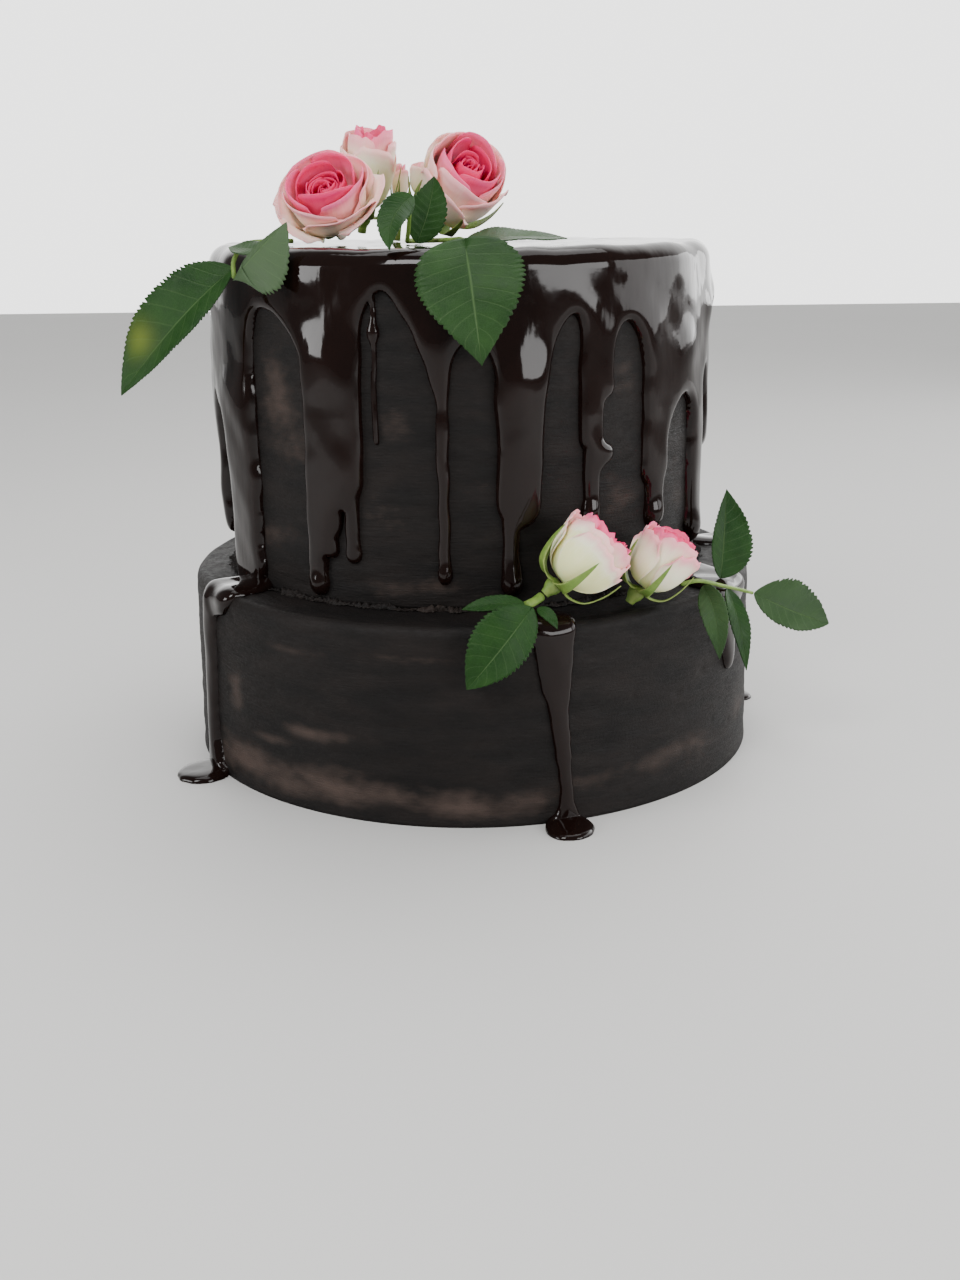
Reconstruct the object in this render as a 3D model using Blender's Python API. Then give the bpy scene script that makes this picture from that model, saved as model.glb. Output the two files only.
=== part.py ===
"""Two-tier chocolate cake with a poured drip glaze and fresh garden roses.

Metres, +Z up. The origin is the centre of the lower tier's base, and the front of the cake looks along -Y.
Angles on the tiers are in degrees from the front, positive towards +X.
"""
import math

import bmesh
import bpy
import numpy as np
from mathutils import Matrix, Vector

MM = 0.001
GAP = 0.3 * MM
CLOSE = 1e-6

# The two tiers: each is a slightly tapering, slightly uneven drum of iced cake.
LOWER_CENTRE = (0.0, 0.0)
LOWER_RADIUS = 126.2 * MM
LOWER_TAPER = 1.7 * MM
LOWER_HEIGHT = 80.5 * MM
LOWER_EDGE = 4.0 * MM
UPPER_CENTRE = (-3.0 * MM, 6.0 * MM)
UPPER_RADIUS = 104.8 * MM
UPPER_HEIGHT = 134.0 * MM
UPPER_EDGE = 3.0 * MM
UPPER_BASE = LOWER_HEIGHT + GAP
UPPER_TOP = UPPER_BASE + UPPER_HEIGHT
UNEVENNESS = 0.5 * MM
UNEVEN_WAVES = ((2.0, 0.6, 1.0), (5.0, 0.4, 2.0))
LOWER_PHASE = 0.7
UPPER_PHASE = 2.3
TIER_SEGMENTS = 72

# The glaze: a skin over the upper tier whose lower edge runs into drips.
SKIN_GAP = 0.45 * MM
GLAZE_TOP = 2.2 * MM
GLAZE_BEAD = 3.7 * MM
GLAZE_LIP = 0.7 * MM
GLAZE_LIP_WIDTH = 4.5 * MM
GLAZE_RIM = 4.0 * MM
GLAZE_BAND = 60.0 * MM
GLAZE_ROWS = (0.0, 0.36, 0.72, 1.0)
GLAZE_LAST_ROW = 2.6 * MM
DRIP_SIDE = 0.3
DRIP_ROUNDING = 1.3
DRIP_REACH = 0.999
CLOSEST_COLUMNS = 0.18
OUTLINE_STEP = 0.5

# Each drip: left angle, right angle, height of its tip in mm, number of columns across it.
DRIPS = (
    (-97.0, -77.5, 137.0, 5), (-88.0, -80.0, 97.0, 5),
    (-66.5, -52.0, 85.2, 5),
    (-33.5, -21.2, 104.0, 5), (-35.3, -30.8, 84.0, 5), (-31.0, -26.5, 94.0, 3), (-24.6, -21.0, 98.5, 3),
    (-5.2, -2.5, 91.0, 5),
    (7.2, 17.0, 112.0, 5), (8.4, 12.4, 86.0, 5),
    (25.4, 31.0, 140.0, 5), (26.6, 30.4, 112.0, 5), (30.2, 33.4, 161.5, 3),
    (42.9, 51.0, 122.0, 5), (44.5, 50.0, 106.0, 5),
    (64.5, 72.5, 95.0, 5),
    (80.0, 92.0, 128.0, 3),
    (104.0, 111.0, 108.0, 3),
    (124.0, 129.0, 150.0, 3),
    (142.0, 149.0, 98.0, 3),
    (162.0, 168.0, 132.0, 3),
    (180.0, 187.0, 90.0, 3),
    (201.0, 206.0, 142.0, 3),
    (218.0, 226.0, 104.0, 3),
    (240.0, 246.0, 126.0, 3),
)

# Each arch of bare icing between drips: left angle, right angle, angle of its crown, height of the crown
# in mm, heights of its left and right feet in mm, and how full its right side is.
ARCHES = (
    (-77.5, -66.5, -72.0, 152.0, 138.0, 138.0, 2.0),
    (-52.0, -33.5, -47.0, 194.5, 178.0, 158.0, 2.0),
    (-21.0, -5.2, -15.5, 202.0, 180.0, 158.0, 1.35),
    (-2.5, 7.2, 2.6, 184.0, 162.0, 166.0, 2.0),
    (17.0, 25.4, 24.0, 192.5, 126.0, 184.0, 2.0),
    (33.4, 42.9, 37.5, 189.0, 172.0, 166.0, 2.0),
    (51.0, 64.5, 59.0, 157.5, 134.0, 142.0, 2.0),
    (72.5, 80.0, 76.0, 166.0, 150.0, 150.0, 2.0),
    (92.0, 104.0, 98.0, 190.0, 165.0, 160.0, 2.0),
    (111.0, 124.0, 118.0, 186.0, 160.0, 168.0, 2.0),
    (129.0, 142.0, 135.0, 193.0, 166.0, 162.0, 2.0),
    (149.0, 162.0, 156.0, 188.0, 160.0, 164.0, 2.0),
    (168.0, 180.0, 174.0, 191.0, 168.0, 160.0, 2.0),
    (187.0, 201.0, 194.0, 186.0, 158.0, 164.0, 2.0),
    (206.0, 218.0, 212.0, 192.0, 168.0, 160.0, 2.0),
    (226.0, 240.0, 233.0, 187.0, 160.0, 166.0, 2.0),
    (246.0, 263.0, 255.0, 190.0, 165.0, 165.0, 2.0),
)
ARCH_STEPS = 3

# Soft lumps where the glaze gathered: angle, height in mm, spread in mm, extra thickness in mm.
GLAZE_LUMPS = (
    (84.0, 196.0, 9.0, 2.2), (92.0, 180.0, 8.0, 1.8), (76.0, 190.0, 7.0, 1.2), (60.0, 176.0, 9.0, 1.0),
    (-60.0, 150.0, 22.0, 1.6), (-88.0, 195.0, 22.0, 2.4), (-88.0, 158.0, 20.0, 2.6),
    (-84.0, 112.0, 12.0, 1.4),
    (-33.0, 92.0, 5.0, 1.0), (46.5, 112.0, 5.0, 1.2), (9.5, 92.0, 5.0, 1.0), (14.0, 142.0, 12.0, 0.9),
)

# Runs of glaze down the lower tier. Each station: place, where on it in mm, angle, half width in mm,
# thickness in mm. Places: ledge (radius), rim, wall (height), foot, floor (radius).
RUNS = {
    "glaze_run_left": (
        ("ledge", 111.0, -56.0, 12.0, 0.8), ("ledge", 114.0, -57.0, 17.0, 2.2),
        ("ledge", 119.0, -58.0, 15.0, 2.4), ("rim", 0.0, -59.4, 10.0, 2.4), ("rim", 45.0, -60.4, 7.6, 2.6),
        ("rim", 90.0, -61.2, 5.6, 3.2), ("wall", 58.0, -61.8, 4.8, 3.2), ("wall", 34.0, -62.0, 4.6, 3.2),
        ("wall", 14.0, -62.0, 4.9, 3.4), ("foot", 0.0, -61.2, 7.6, 3.4), ("floor", 132.5, -60.0, 10.5, 3.2),
        ("floor", 138.5, -59.6, 10.0, 2.6), ("floor", 142.5, -59.4, 5.0, 0.8),
    ),
    "glaze_run_middle": (
        ("ledge", 113.0, 12.0, 9.0, 0.8), ("ledge", 115.5, 12.4, 12.0, 2.0),
        ("ledge", 119.5, 13.2, 11.5, 2.2), ("rim", 0.0, 13.8, 10.0, 2.2), ("rim", 45.0, 14.2, 9.2, 2.2),
        ("rim", 90.0, 14.4, 8.6, 2.4), ("wall", 58.0, 14.8, 6.2, 2.6), ("wall", 48.0, 15.4, 4.2, 2.8),
        ("wall", 26.0, 16.2, 2.8, 2.8), ("wall", 10.0, 16.8, 2.4, 2.8), ("foot", 0.0, 16.6, 6.0, 2.8),
        ("floor", 132.5, 16.2, 9.0, 3.0), ("floor", 138.5, 15.8, 8.6, 2.6),
        ("floor", 142.5, 15.6, 4.0, 0.8),
    ),
    "glaze_run_right": (
        ("ledge", 112.5, 62.0, 14.0, 0.8), ("ledge", 115.0, 61.5, 19.0, 2.2),
        ("ledge", 119.5, 60.5, 16.0, 2.4), ("rim", 0.0, 59.0, 11.0, 2.4), ("rim", 45.0, 58.0, 9.0, 2.4),
        ("rim", 90.0, 57.4, 7.8, 2.6), ("wall", 58.0, 58.4, 6.0, 2.8), ("wall", 50.0, 58.8, 4.8, 3.0),
        ("wall", 45.0, 59.0, 3.4, 2.4), ("wall", 43.0, 59.0, 1.4, 0.8),
    ),
    "glaze_run_back": (
        ("ledge", 112.5, 99.0, 8.0, 0.8), ("ledge", 115.0, 99.0, 12.0, 2.0),
        ("ledge", 119.5, 99.5, 9.0, 2.2), ("rim", 0.0, 99.8, 7.0, 2.2), ("rim", 45.0, 100.0, 6.0, 2.4),
        ("rim", 90.0, 100.2, 4.8, 2.6), ("wall", 50.0, 100.4, 4.0, 2.6), ("wall", 26.0, 100.6, 3.6, 2.6),
        ("wall", 10.0, 100.8, 3.6, 2.8), ("foot", 0.0, 100.8, 5.0, 2.8), ("floor", 131.5, 100.8, 6.5, 2.8),
        ("floor", 135.0, 100.8, 6.0, 2.2), ("floor", 137.5, 100.8, 3.0, 0.8),
    ),
}
RUN_GAP = 0.45 * MM
RUN_ACROSS = (-1.0, -0.65, 0.0, 0.65, 1.0)

# Blooms: middle, way it faces, radius and length in mm, how far its outer petals open (0 to 1), its turn
# in degrees, how many outer and inner petals it has (a bud has no inner ones), and its length of stem.
BLOOMS = {
    "rose_top_left": ((-55.0, -45.5, 236.0), (-0.17, -0.68, 0.71), 18.2, 26.0, 1.0, 20.0, 5, 4, 0.5),
    "rose_top_back": ((-41.5, -1.0, 248.4), (0.16, -0.2, 0.97), 11.8, 35.0, 0.25, 70.0, 4, 3, 2.0),
    "rose_top_right": ((-2.3, -36.0, 241.0), (0.42, -0.68, 0.60), 16.4, 33.0, 0.35, 10.0, 5, 3, 2.0),
    "rose_ledge_left": ((44.2, -113.7, 105.8), (0.74, 0.08, 0.66), 15.0, 27.5, 0.15, 40.0, 5, 3, 0.3),
    "rose_ledge_right": ((74.6, -94.5, 99.4), (0.58, 0.06, 0.81), 12.8, 26.0, 0.2, 0.0, 4, 3, 0.6),
    "bud_top_back": ((-29.0, 12.0, 243.0), (0.1, 0.0, 1.0), 4.2, 16.0, 0.0, 0.0, 3, 0, 9.0),
    "bud_top_middle": ((-19.5, -12.0, 244.0), (0.05, -0.1, 1.0), 4.6, 14.0, 0.0, 30.0, 3, 0, 9.0),
}
BLOOM_SIDES = 25
LOBE_FULLNESS = 0.7
INNER_TURN = 31.0
HEART_HEIGHT = 0.88
BUD_SIDES = 9
BUD_PETALS = 3
BUD_BULGE = 0.06
BUD_PROFILE = ((0.30, 0.0), (0.86, 0.16), (1.0, 0.42), (0.84, 0.72), (0.50, 0.93))

# Calyx: the sepals' foot, rows (reach, height, half angle) and tip as shares of the bloom's size.
SEPAL_FOOT = 0.20
SEPAL_ROWS = ((0.74, -0.02, 0.30), (1.06, 0.25, 0.17))
SEPAL_TIP = (1.14, 0.56)
SEPAL_DROP = 0.8 * MM
SEPAL_CURL = 0.4 * MM
SEPAL_THICKNESS = 0.6 * MM
SEPAL_SHORTENING = 0.52
ROSE_SEPALS = 5
BUD_SEPALS = 3

# Below the sepals: the hip and the top of the stem as (radius, depth).
STEM_RADIUS = 1.7 * MM
HIP_ROWS = ((3.0 * MM, 1.5 * MM), (3.0 * MM, 4.0 * MM), (STEM_RADIUS, 6.0 * MM))

# Leaves: base, pull point of the bent midrib and tip (mm), half widths in mm on both sides of the midrib,
# way the blade faces, fold along the midrib, how far the lobes at its foot reach back in mm, and the share
# of its length where it is widest.
LEAVES = {
    "leaf_left_large": (
        (-91.5, -64.0, 209.4), (-116.0, -66.0, 190.5), (-140.4, -60.0, 160.0), (17.5, 8.5),
        (-0.3, -0.85, 0.4), 0.2, 1.0, 0.44),
    "leaf_left_upper": (
        (-90.0, -72.5, 205.6), (-79.5, -83.5, 216.5), (-67.0, -79.5, 227.3), (17.5, 2.0),
        (-0.2, -0.95, 0.25), 0.08, -8.0, 0.42),
    "leaf_left_back": (
        (-78.5, -73.0, 217.0), (-85.0, -69.5, 217.4), (-93.3, -60.0, 217.6), (4.6, 5.0),
        (-0.1, -0.6, 0.8), 0.15, 1.0, 0.4),
    "leaf_middle_up": (
        (-18.9, -67.0, 219.4), (-13.0, -67.0, 232.0), (-12.1, -66.0, 243.4), (7.6, 8.0),
        (0.2, -0.9, 0.35), 0.22, 1.0, 0.4),
    "leaf_middle_down": (
        (-20.5, -84.5, 235.4), (-29.5, -92.5, 228.5), (-27.8, -101.5, 216.4), (6.4, 5.6),
        (-0.2, -0.95, 0.2), 0.22, 1.0, 0.38),
    "leaf_front": (
        (-0.2, -100.5, 216.9), (2.0, -113.0, 203.0), (5.2, -112.5, 175.4), (20.5, 20.5),
        (0.0, -0.97, 0.25), 0.10, 5.0, 0.33),
    "leaf_right": (
        (1.0, -67.0, 219.8), (20.0, -62.0, 221.4), (40.5, -48.0, 219.2), (9.0, 9.0),
        (0.1, -0.25, 1.0), 0.12, 1.0, 0.42),
    "leaf_ledge_small": (
        (19.5, -125.5, 90.0), (8.0, -128.5, 92.0), (-3.8, -127.5, 88.6), (3.9, 3.9),
        (0.0, -0.6, 0.8), 0.2, 0.5, 0.42),
    "leaf_ledge_large": (
        (21.5, -131.0, 88.8), (12.0, -138.5, 77.0), (-2.4, -136.0, 59.8), (13.0, 10.0),
        (-0.1, -0.95, 0.25), 0.2, 2.0, 0.44),
    "leaf_ledge_inner": (
        (24.5, -130.5, 89.6), (29.5, -136.5, 89.4), (31.6, -136.5, 83.2), (2.5, 2.5),
        (0.2, -0.8, 0.5), 0.2, 0.0, 0.4),
    "leaf_spray_up": (
        (103.4, -64.5, 84.2), (105.5, -57.0, 100.0), (106.6, -52.0, 118.9), (12.4, 5.2),
        (0.1, -0.95, 0.15), 0.2, 1.0, 0.38),
    "leaf_spray_out": (
        (119.2, -60.6, 75.2), (134.5, -62.0, 66.8), (151.2, -60.0, 61.6), (8.4, 13.2),
        (0.05, -0.9, 0.45), 0.2, 1.0, 0.45),
    "leaf_spray_front": (
        (92.8, -87.0, 85.4), (96.5, -104.0, 80.0), (97.4, -103.0, 59.6), (5.6, 5.6),
        (-0.3, -0.95, 0.2), 0.2, 1.0, 0.4),
    "leaf_spray_side": (
        (104.2, -78.0, 81.4), (108.0, -91.5, 72.0), (111.0, -89.0, 50.4), (4.8, 4.8),
        (0.4, -0.85, 0.3), 0.2, 1.0, 0.4),
}
LEAF_STATIONS = (0.0, 0.13, 0.32, 0.52, 0.72, 0.88, 1.0)
LEAF_THICKNESS = 0.8 * MM
LEAF_WAVE = 0.06
LEAF_WAVE_ALONG = 9.0
LEAF_WAVE_ACROSS = 2.0
LEAF_SHARPNESS = 1.7
LEAF_LOBE_WIDTH = 1.5
LEAF_LOBE_END = 4.0
LEAF_LOOK = 0.05
LEAF_ACROSS = (-1.0, -0.5, 0.0, 0.5, 1.0)

# Stalks that carry the leaves: points along them in mm.
STALKS = {
    "stalk_top_left": (
        (-90.2, -68.4, 206.6), (-90.6, -63.6, 213.0), (-86.4, -59.6, 218.8), (-77.0, -56.0, 219.8),
        (-69.0, -51.0, 219.6),
    ),
    "stalk_top_middle": (
        (-0.3, -98.0, 218.8), (-2.0, -88.0, 220.2), (-6.0, -74.0, 219.8), (-13.0, -62.0, 219.4),
        (-20.0, -54.0, 219.2), (-24.0, -44.0, 219.0),
    ),
    "stalk_top_fork": (
        (-20.8, -83.0, 233.6), (-21.8, -77.0, 225.0), (-22.8, -71.5, 219.3),
    ),
    "stem_ledge_left": (
        (26.6, -116.2, 90.4), (23.6, -119.2, 89.2), (20.6, -122.6, 88.8),
    ),
    "stalk_ledge": (
        (84.0, -84.0, 86.0), (91.5, -82.5, 87.0), (102.4, -74.0, 82.6), (110.0, -66.8, 79.2),
        (117.4, -61.4, 76.0),
    ),
}
STALK_RADIUS = 0.9 * MM
STALK_SIDES = 6
TUBE_REFERENCE = Vector((0.13, 0.97, 0.21))

# Colour and roughness of each material.
ICING = ((0.020, 0.014, 0.012), 0.75)
GLAZE = ((0.014, 0.007, 0.006), 0.08)
PETALS = ((0.82, 0.42, 0.45), 0.55)
LEAF_GREEN = ((0.030, 0.090, 0.028), 0.45)
SEPAL_GREEN = ((0.16, 0.26, 0.07), 0.5)


def clear_scene():
    for item in list(bpy.data.objects):
        bpy.data.objects.remove(item, do_unlink=True)


def make_material(name, colour, roughness):
    material = bpy.data.materials.new(name)
    material.use_nodes = True
    shader = material.node_tree.nodes["Principled BSDF"]
    shader.inputs["Base Color"].default_value = (*colour, 1.0)
    shader.inputs["Roughness"].default_value = roughness
    shader.inputs["Metallic"].default_value = 0.0
    return material


def add_mesh(name, points, faces, material):
    """One closed solid as an object of its own, its faces turned outwards."""
    mesh = bpy.data.meshes.new(name)
    mesh.from_pydata([tuple(point) for point in points], [], faces)
    work = bmesh.new()
    work.from_mesh(mesh)
    bmesh.ops.recalc_face_normals(work, faces=work.faces)
    if work.calc_volume(signed=True) < 0.0:
        bmesh.ops.reverse_faces(work, faces=work.faces)
    work.to_mesh(mesh)
    work.free()
    mesh.shade_smooth()
    mesh.materials.append(material)
    item = bpy.data.objects.new(name, mesh)
    bpy.context.scene.collection.objects.link(item)
    return item


def around(centre, angle, radius, height):
    """The point at an angle from the front, a distance from a tier's axis and a height."""
    turn = math.radians(angle)
    return (centre[0] + radius * math.sin(turn), centre[1] - radius * math.cos(turn), height)


def uneven(angle, phase):
    """How far the hand-smoothed icing stands in or out at this angle."""
    turn = math.radians(angle)
    height = sum(share * math.sin(waves * turn + shift * phase) for waves, share, shift in UNEVEN_WAVES)
    return UNEVENNESS * height


def lower_radius(angle, height):
    return LOWER_RADIUS - LOWER_TAPER * height / LOWER_HEIGHT + uneven(angle, LOWER_PHASE)


def upper_radius(angle):
    return UPPER_RADIUS + uneven(angle, UPPER_PHASE)


def add_tier(name, centre, rows, material):
    """A drum from rows of (radius at an angle, height), closed by a pole below and above."""
    angles = [360.0 * step / TIER_SEGMENTS for step in range(TIER_SEGMENTS)]
    points = [(centre[0], centre[1], rows[0][1])]
    for radius_at, height in rows:
        points += [around(centre, angle, radius_at(angle), height) for angle in angles]
    points.append((centre[0], centre[1], rows[-1][1]))
    faces = []
    last = len(points) - 1
    top = 1 + (len(rows) - 1) * TIER_SEGMENTS
    for step in range(TIER_SEGMENTS):
        after = (step + 1) % TIER_SEGMENTS
        faces.append((0, 1 + after, 1 + step))
        faces.append((last, top + step, top + after))
        for row in range(len(rows) - 1):
            low = 1 + row * TIER_SEGMENTS
            high = low + TIER_SEGMENTS
            faces.append((low + step, low + after, high + after, high + step))
    return add_mesh(name, points, faces, material)


def build_tiers(icing):
    shoulder = LOWER_HEIGHT - LOWER_EDGE
    bevel = LOWER_EDGE * (1.0 - math.sqrt(0.5))
    add_tier("lower_tier", LOWER_CENTRE, (
        (lambda angle: lower_radius(angle, 0.0), 0.0),
        (lambda angle: lower_radius(angle, 0.5 * shoulder), 0.5 * shoulder),
        (lambda angle: lower_radius(angle, LOWER_HEIGHT), shoulder),
        (lambda angle: lower_radius(angle, LOWER_HEIGHT) - bevel, LOWER_HEIGHT - bevel),
        (lambda angle: lower_radius(angle, LOWER_HEIGHT) - LOWER_EDGE, LOWER_HEIGHT),
    ), icing)
    add_tier("upper_tier", UPPER_CENTRE, (
        (upper_radius, UPPER_BASE),
        (upper_radius, UPPER_TOP - UPPER_EDGE),
        (lambda angle: upper_radius(angle) - UPPER_EDGE, UPPER_TOP),
    ), icing)


def turned_near(angle, middle):
    """The same angle, a whole turn away if need be, within half a turn of the middle."""
    return middle + (angle - middle + 180.0) % 360.0 - 180.0


def drip_edge(angle, drip):
    """Height of the glaze's edge within one drip, or None beside it."""
    left, right, tip, _ = drip
    middle = 0.5 * (left + right)
    half = 0.5 * (right - left)
    across = (turned_near(angle, middle) - middle) / half
    if abs(across) > 1.0 + CLOSE:
        return None
    rounding = DRIP_ROUNDING * math.radians(half) * UPPER_RADIUS
    return tip * MM + rounding * (1.0 - math.sqrt(max(0.0, 1.0 - across * across)))


def arch_edge(angle, arch):
    """Height of the glaze's edge within one arch of bare icing, or None beside it."""
    left, right, crown, top, left_foot, right_foot, fullness = arch
    place = turned_near(angle, crown)
    if place < left - CLOSE or place > right + CLOSE:
        return None
    on_left = place < crown
    span = crown - left if on_left else right - crown
    foot = left_foot if on_left else right_foot
    power = 2.0 if on_left else fullness
    away = min(1.0, abs(place - crown) / span)
    return (foot + (top - foot) * (1.0 - away ** power) ** (1.0 / power)) * MM


def glaze_edge(angle):
    heights = [arch_edge(angle, arch) for arch in ARCHES] + [drip_edge(angle, drip) for drip in DRIPS]
    return min(height for height in heights if height is not None)


def glaze_angles():
    """Angles of the columns of the glaze: close together at the sides of drips, wide elsewhere."""
    angles = []
    for left, right, _, columns in DRIPS:
        middle = 0.5 * (left + right)
        half = 0.5 * (right - left)
        for step in range(columns):
            turn = math.pi * step / (columns - 1)
            angles.append(middle - DRIP_REACH * half * math.cos(turn))
    for left, right, crown, *_ in ARCHES:
        angles += [left + DRIP_SIDE, right - DRIP_SIDE, crown]
        for step in range(1, ARCH_STEPS):
            share = math.sin(0.5 * math.pi * step / ARCH_STEPS)
            angles += [crown + share * (left - crown), crown + share * (right - crown)]
    wrapped = sorted(angle % 360.0 for angle in angles)
    kept = [wrapped[0]]
    for angle in wrapped[1:]:
        if angle - kept[-1] > CLOSEST_COLUMNS:
            kept.append(angle)
    return kept


def edge_outline(angles):
    """The glaze's lower edge unrolled into a flat line of (arc, height), over a little more than a turn."""
    fine = sorted(set(angles) | {OUTLINE_STEP * step for step in range(round(360.0 / OUTLINE_STEP))})
    heights = [glaze_edge(angle) for angle in fine]
    turns = [(angle + lap, height) for lap in (-360.0, 0.0, 360.0) for angle, height in zip(fine, heights)]
    return np.array([(math.radians(angle) * UPPER_RADIUS, height) for angle, height in turns])


def distance_inside(outline, angle, height):
    """How far inside the glaze's lower edge a point on the unrolled side lies."""
    place = np.array((math.radians(angle) * UPPER_RADIUS, height))
    starts = outline[:-1]
    steps = outline[1:] - starts
    lengths = np.maximum((steps ** 2).sum(axis=1), 1e-12)
    share = np.clip(((place - starts) * steps).sum(axis=1) / lengths, 0.0, 1.0)
    nearest = starts + steps * share[:, None]
    return float(np.sqrt(((place - nearest) ** 2).sum(axis=1)).min())


def lump(angle, height):
    total = 0.0
    for middle, level, spread, extra in GLAZE_LUMPS:
        along = math.radians(turned_near(angle, middle) - middle) * UPPER_RADIUS
        away = (along ** 2 + (height - level * MM) ** 2) / (spread * MM) ** 2
        total += extra * MM * math.exp(-away)
    return total


def glaze_thickness(outline, angle, height):
    """Rounded beads: thin at the edge, full a few millimetres in, fuller lower down than at the rim."""
    inside = min(1.0, distance_inside(outline, angle, height) / GLAZE_LIP_WIDTH)
    lower = min(1.0, max(0.0, (UPPER_TOP - height) / GLAZE_BAND))
    full = GLAZE_TOP + (GLAZE_BEAD - GLAZE_TOP) * lower + lump(angle, height)
    return GLAZE_LIP + (full - GLAZE_LIP) * math.sqrt(1.0 - (1.0 - inside) ** 2)


def glaze_column(outline, angle):
    """Points of one column: up the inside from the edge, then out over the rim and down to the edge."""
    edge = glaze_edge(angle)
    inner = upper_radius(angle) + SKIN_GAP
    top = UPPER_TOP + SKIN_GAP
    points = [(inner, edge), (inner, top - UPPER_EDGE), (inner - UPPER_EDGE, top)]
    over = [(inner - 2.0 * GLAZE_RIM, top + GLAZE_TOP)]
    reach = (GLAZE_RIM + GLAZE_TOP) * math.sqrt(0.5)
    over.append((inner - GLAZE_RIM + reach, top - GLAZE_RIM + reach))
    side_top = top - GLAZE_RIM
    last = min(edge + GLAZE_LAST_ROW, 0.5 * (edge + side_top))
    for share in GLAZE_ROWS:
        height = side_top + share * (last - side_top)
        over.append((inner + glaze_thickness(outline, angle, height), height))
    over.append((inner + GLAZE_LIP, edge))
    return [around(UPPER_CENTRE, angle, radius, height) for radius, height in points + over]


def build_glaze(material):
    angles = glaze_angles()
    outline = edge_outline(angles)
    columns = [glaze_column(outline, angle) for angle in angles]
    size = len(columns[0])
    top = UPPER_TOP + SKIN_GAP
    points = [(*UPPER_CENTRE, top), (*UPPER_CENTRE, top + GLAZE_TOP)]
    for column in columns:
        points += column
    inner_ring = 2
    outer_ring = 3
    faces = []
    for index in range(len(columns)):
        here = 2 + index * size
        after = 2 + (index + 1) % len(columns) * size
        faces.append((0, here + inner_ring, after + inner_ring))
        faces.append((1, here + outer_ring, after + outer_ring))
        for row in range(size):
            up = (row + 1) % size
            if row != inner_ring:
                faces.append((here + row, after + row, after + up, here + up))
    return add_mesh("glaze", points, faces, material)


def run_section(place, where, angle):
    """Point of the lower tier's outline that a run lies on, and the way its thickness grows."""
    if place == "ledge":
        return where * MM, LOWER_HEIGHT + GAP, 0.0, 1.0
    if place == "rim":
        tilt = math.radians(where)
        reach = LOWER_EDGE + RUN_GAP
        middle = lower_radius(angle, LOWER_HEIGHT) - LOWER_EDGE
        return (middle + reach * math.sin(tilt), LOWER_HEIGHT - LOWER_EDGE + reach * math.cos(tilt),
                math.sin(tilt), math.cos(tilt))
    if place == "wall":
        return lower_radius(angle, where * MM) + RUN_GAP, where * MM, 1.0, 0.0
    if place == "foot":
        return lower_radius(angle, 0.0) + RUN_GAP, 0.0, 1.0, 1.0
    return where * MM, 0.0, 0.0, 1.0


def add_run(name, stations, material):
    """A bead of glaze lying along the ledge, over the rim, down the wall and out over the surface below."""
    inner = []
    outer = []
    for place, where, angle, half, thickness in stations:
        for across in RUN_ACROSS:
            radius = run_section(place, where, angle)[0]
            turn = angle + math.degrees(across * half * MM / radius)
            radius, height, out, up = run_section(place, where, turn)
            rise = math.sqrt(max(0.0, 1.0 - across * across))
            bead = GLAZE_LIP + max(0.0, thickness * MM - GLAZE_LIP) * rise
            inner.append(around(LOWER_CENTRE, turn, radius, height))
            outer.append(around(LOWER_CENTRE, turn, radius + out * bead, height + up * bead))
    return add_mesh(name, inner + outer, shell_faces(len(stations), len(RUN_ACROSS)), material)


def shell_faces(rows, columns):
    """Faces of a closed sheet made of two like grids, one behind the other, and the strip between them."""
    faces = []
    count = rows * columns
    for row in range(rows - 1):
        for column in range(columns - 1):
            a = row * columns + column
            b = a + 1
            c = b + columns
            d = a + columns
            faces += [(a, b, c), (a, c, d)]
            faces += [(count + c, count + b, count + a), (count + d, count + c, count + a)]
    border = [column for column in range(columns)]
    border += [row * columns + columns - 1 for row in range(1, rows)]
    border += [(rows - 1) * columns + column for column in range(columns - 2, -1, -1)]
    border += [row * columns for row in range(rows - 2, 0, -1)]
    for here, after in zip(border, border[1:] + border[:1]):
        faces += [(after, here, count + here), (after, count + here, count + after)]
    return faces


def facing(direction):
    """A frame whose Z axis points along the direction."""
    return Vector(direction).normalized().to_track_quat("Z", "Y").to_matrix().to_4x4()


def bezier(points, share):
    """A point on the curve pulled towards its inner points."""
    work = [Vector(point) for point in points]
    while len(work) > 1:
        work = [low.lerp(high, share) for low, high in zip(work, work[1:])]
    return work[0]


def lobe(angle, turn, count):
    """Rises from 0 at the border between two petals to 1 in the middle of each."""
    place = (angle - turn) / 360.0 * count % 1.0
    return math.sin(math.pi * place) ** LOBE_FULLNESS


def overlap(angle, turn, count):
    """Each petal leans out over its neighbour: 0 at its tucked side, 1 at its free side."""
    return (angle - turn) / 360.0 * count % 1.0


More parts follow.
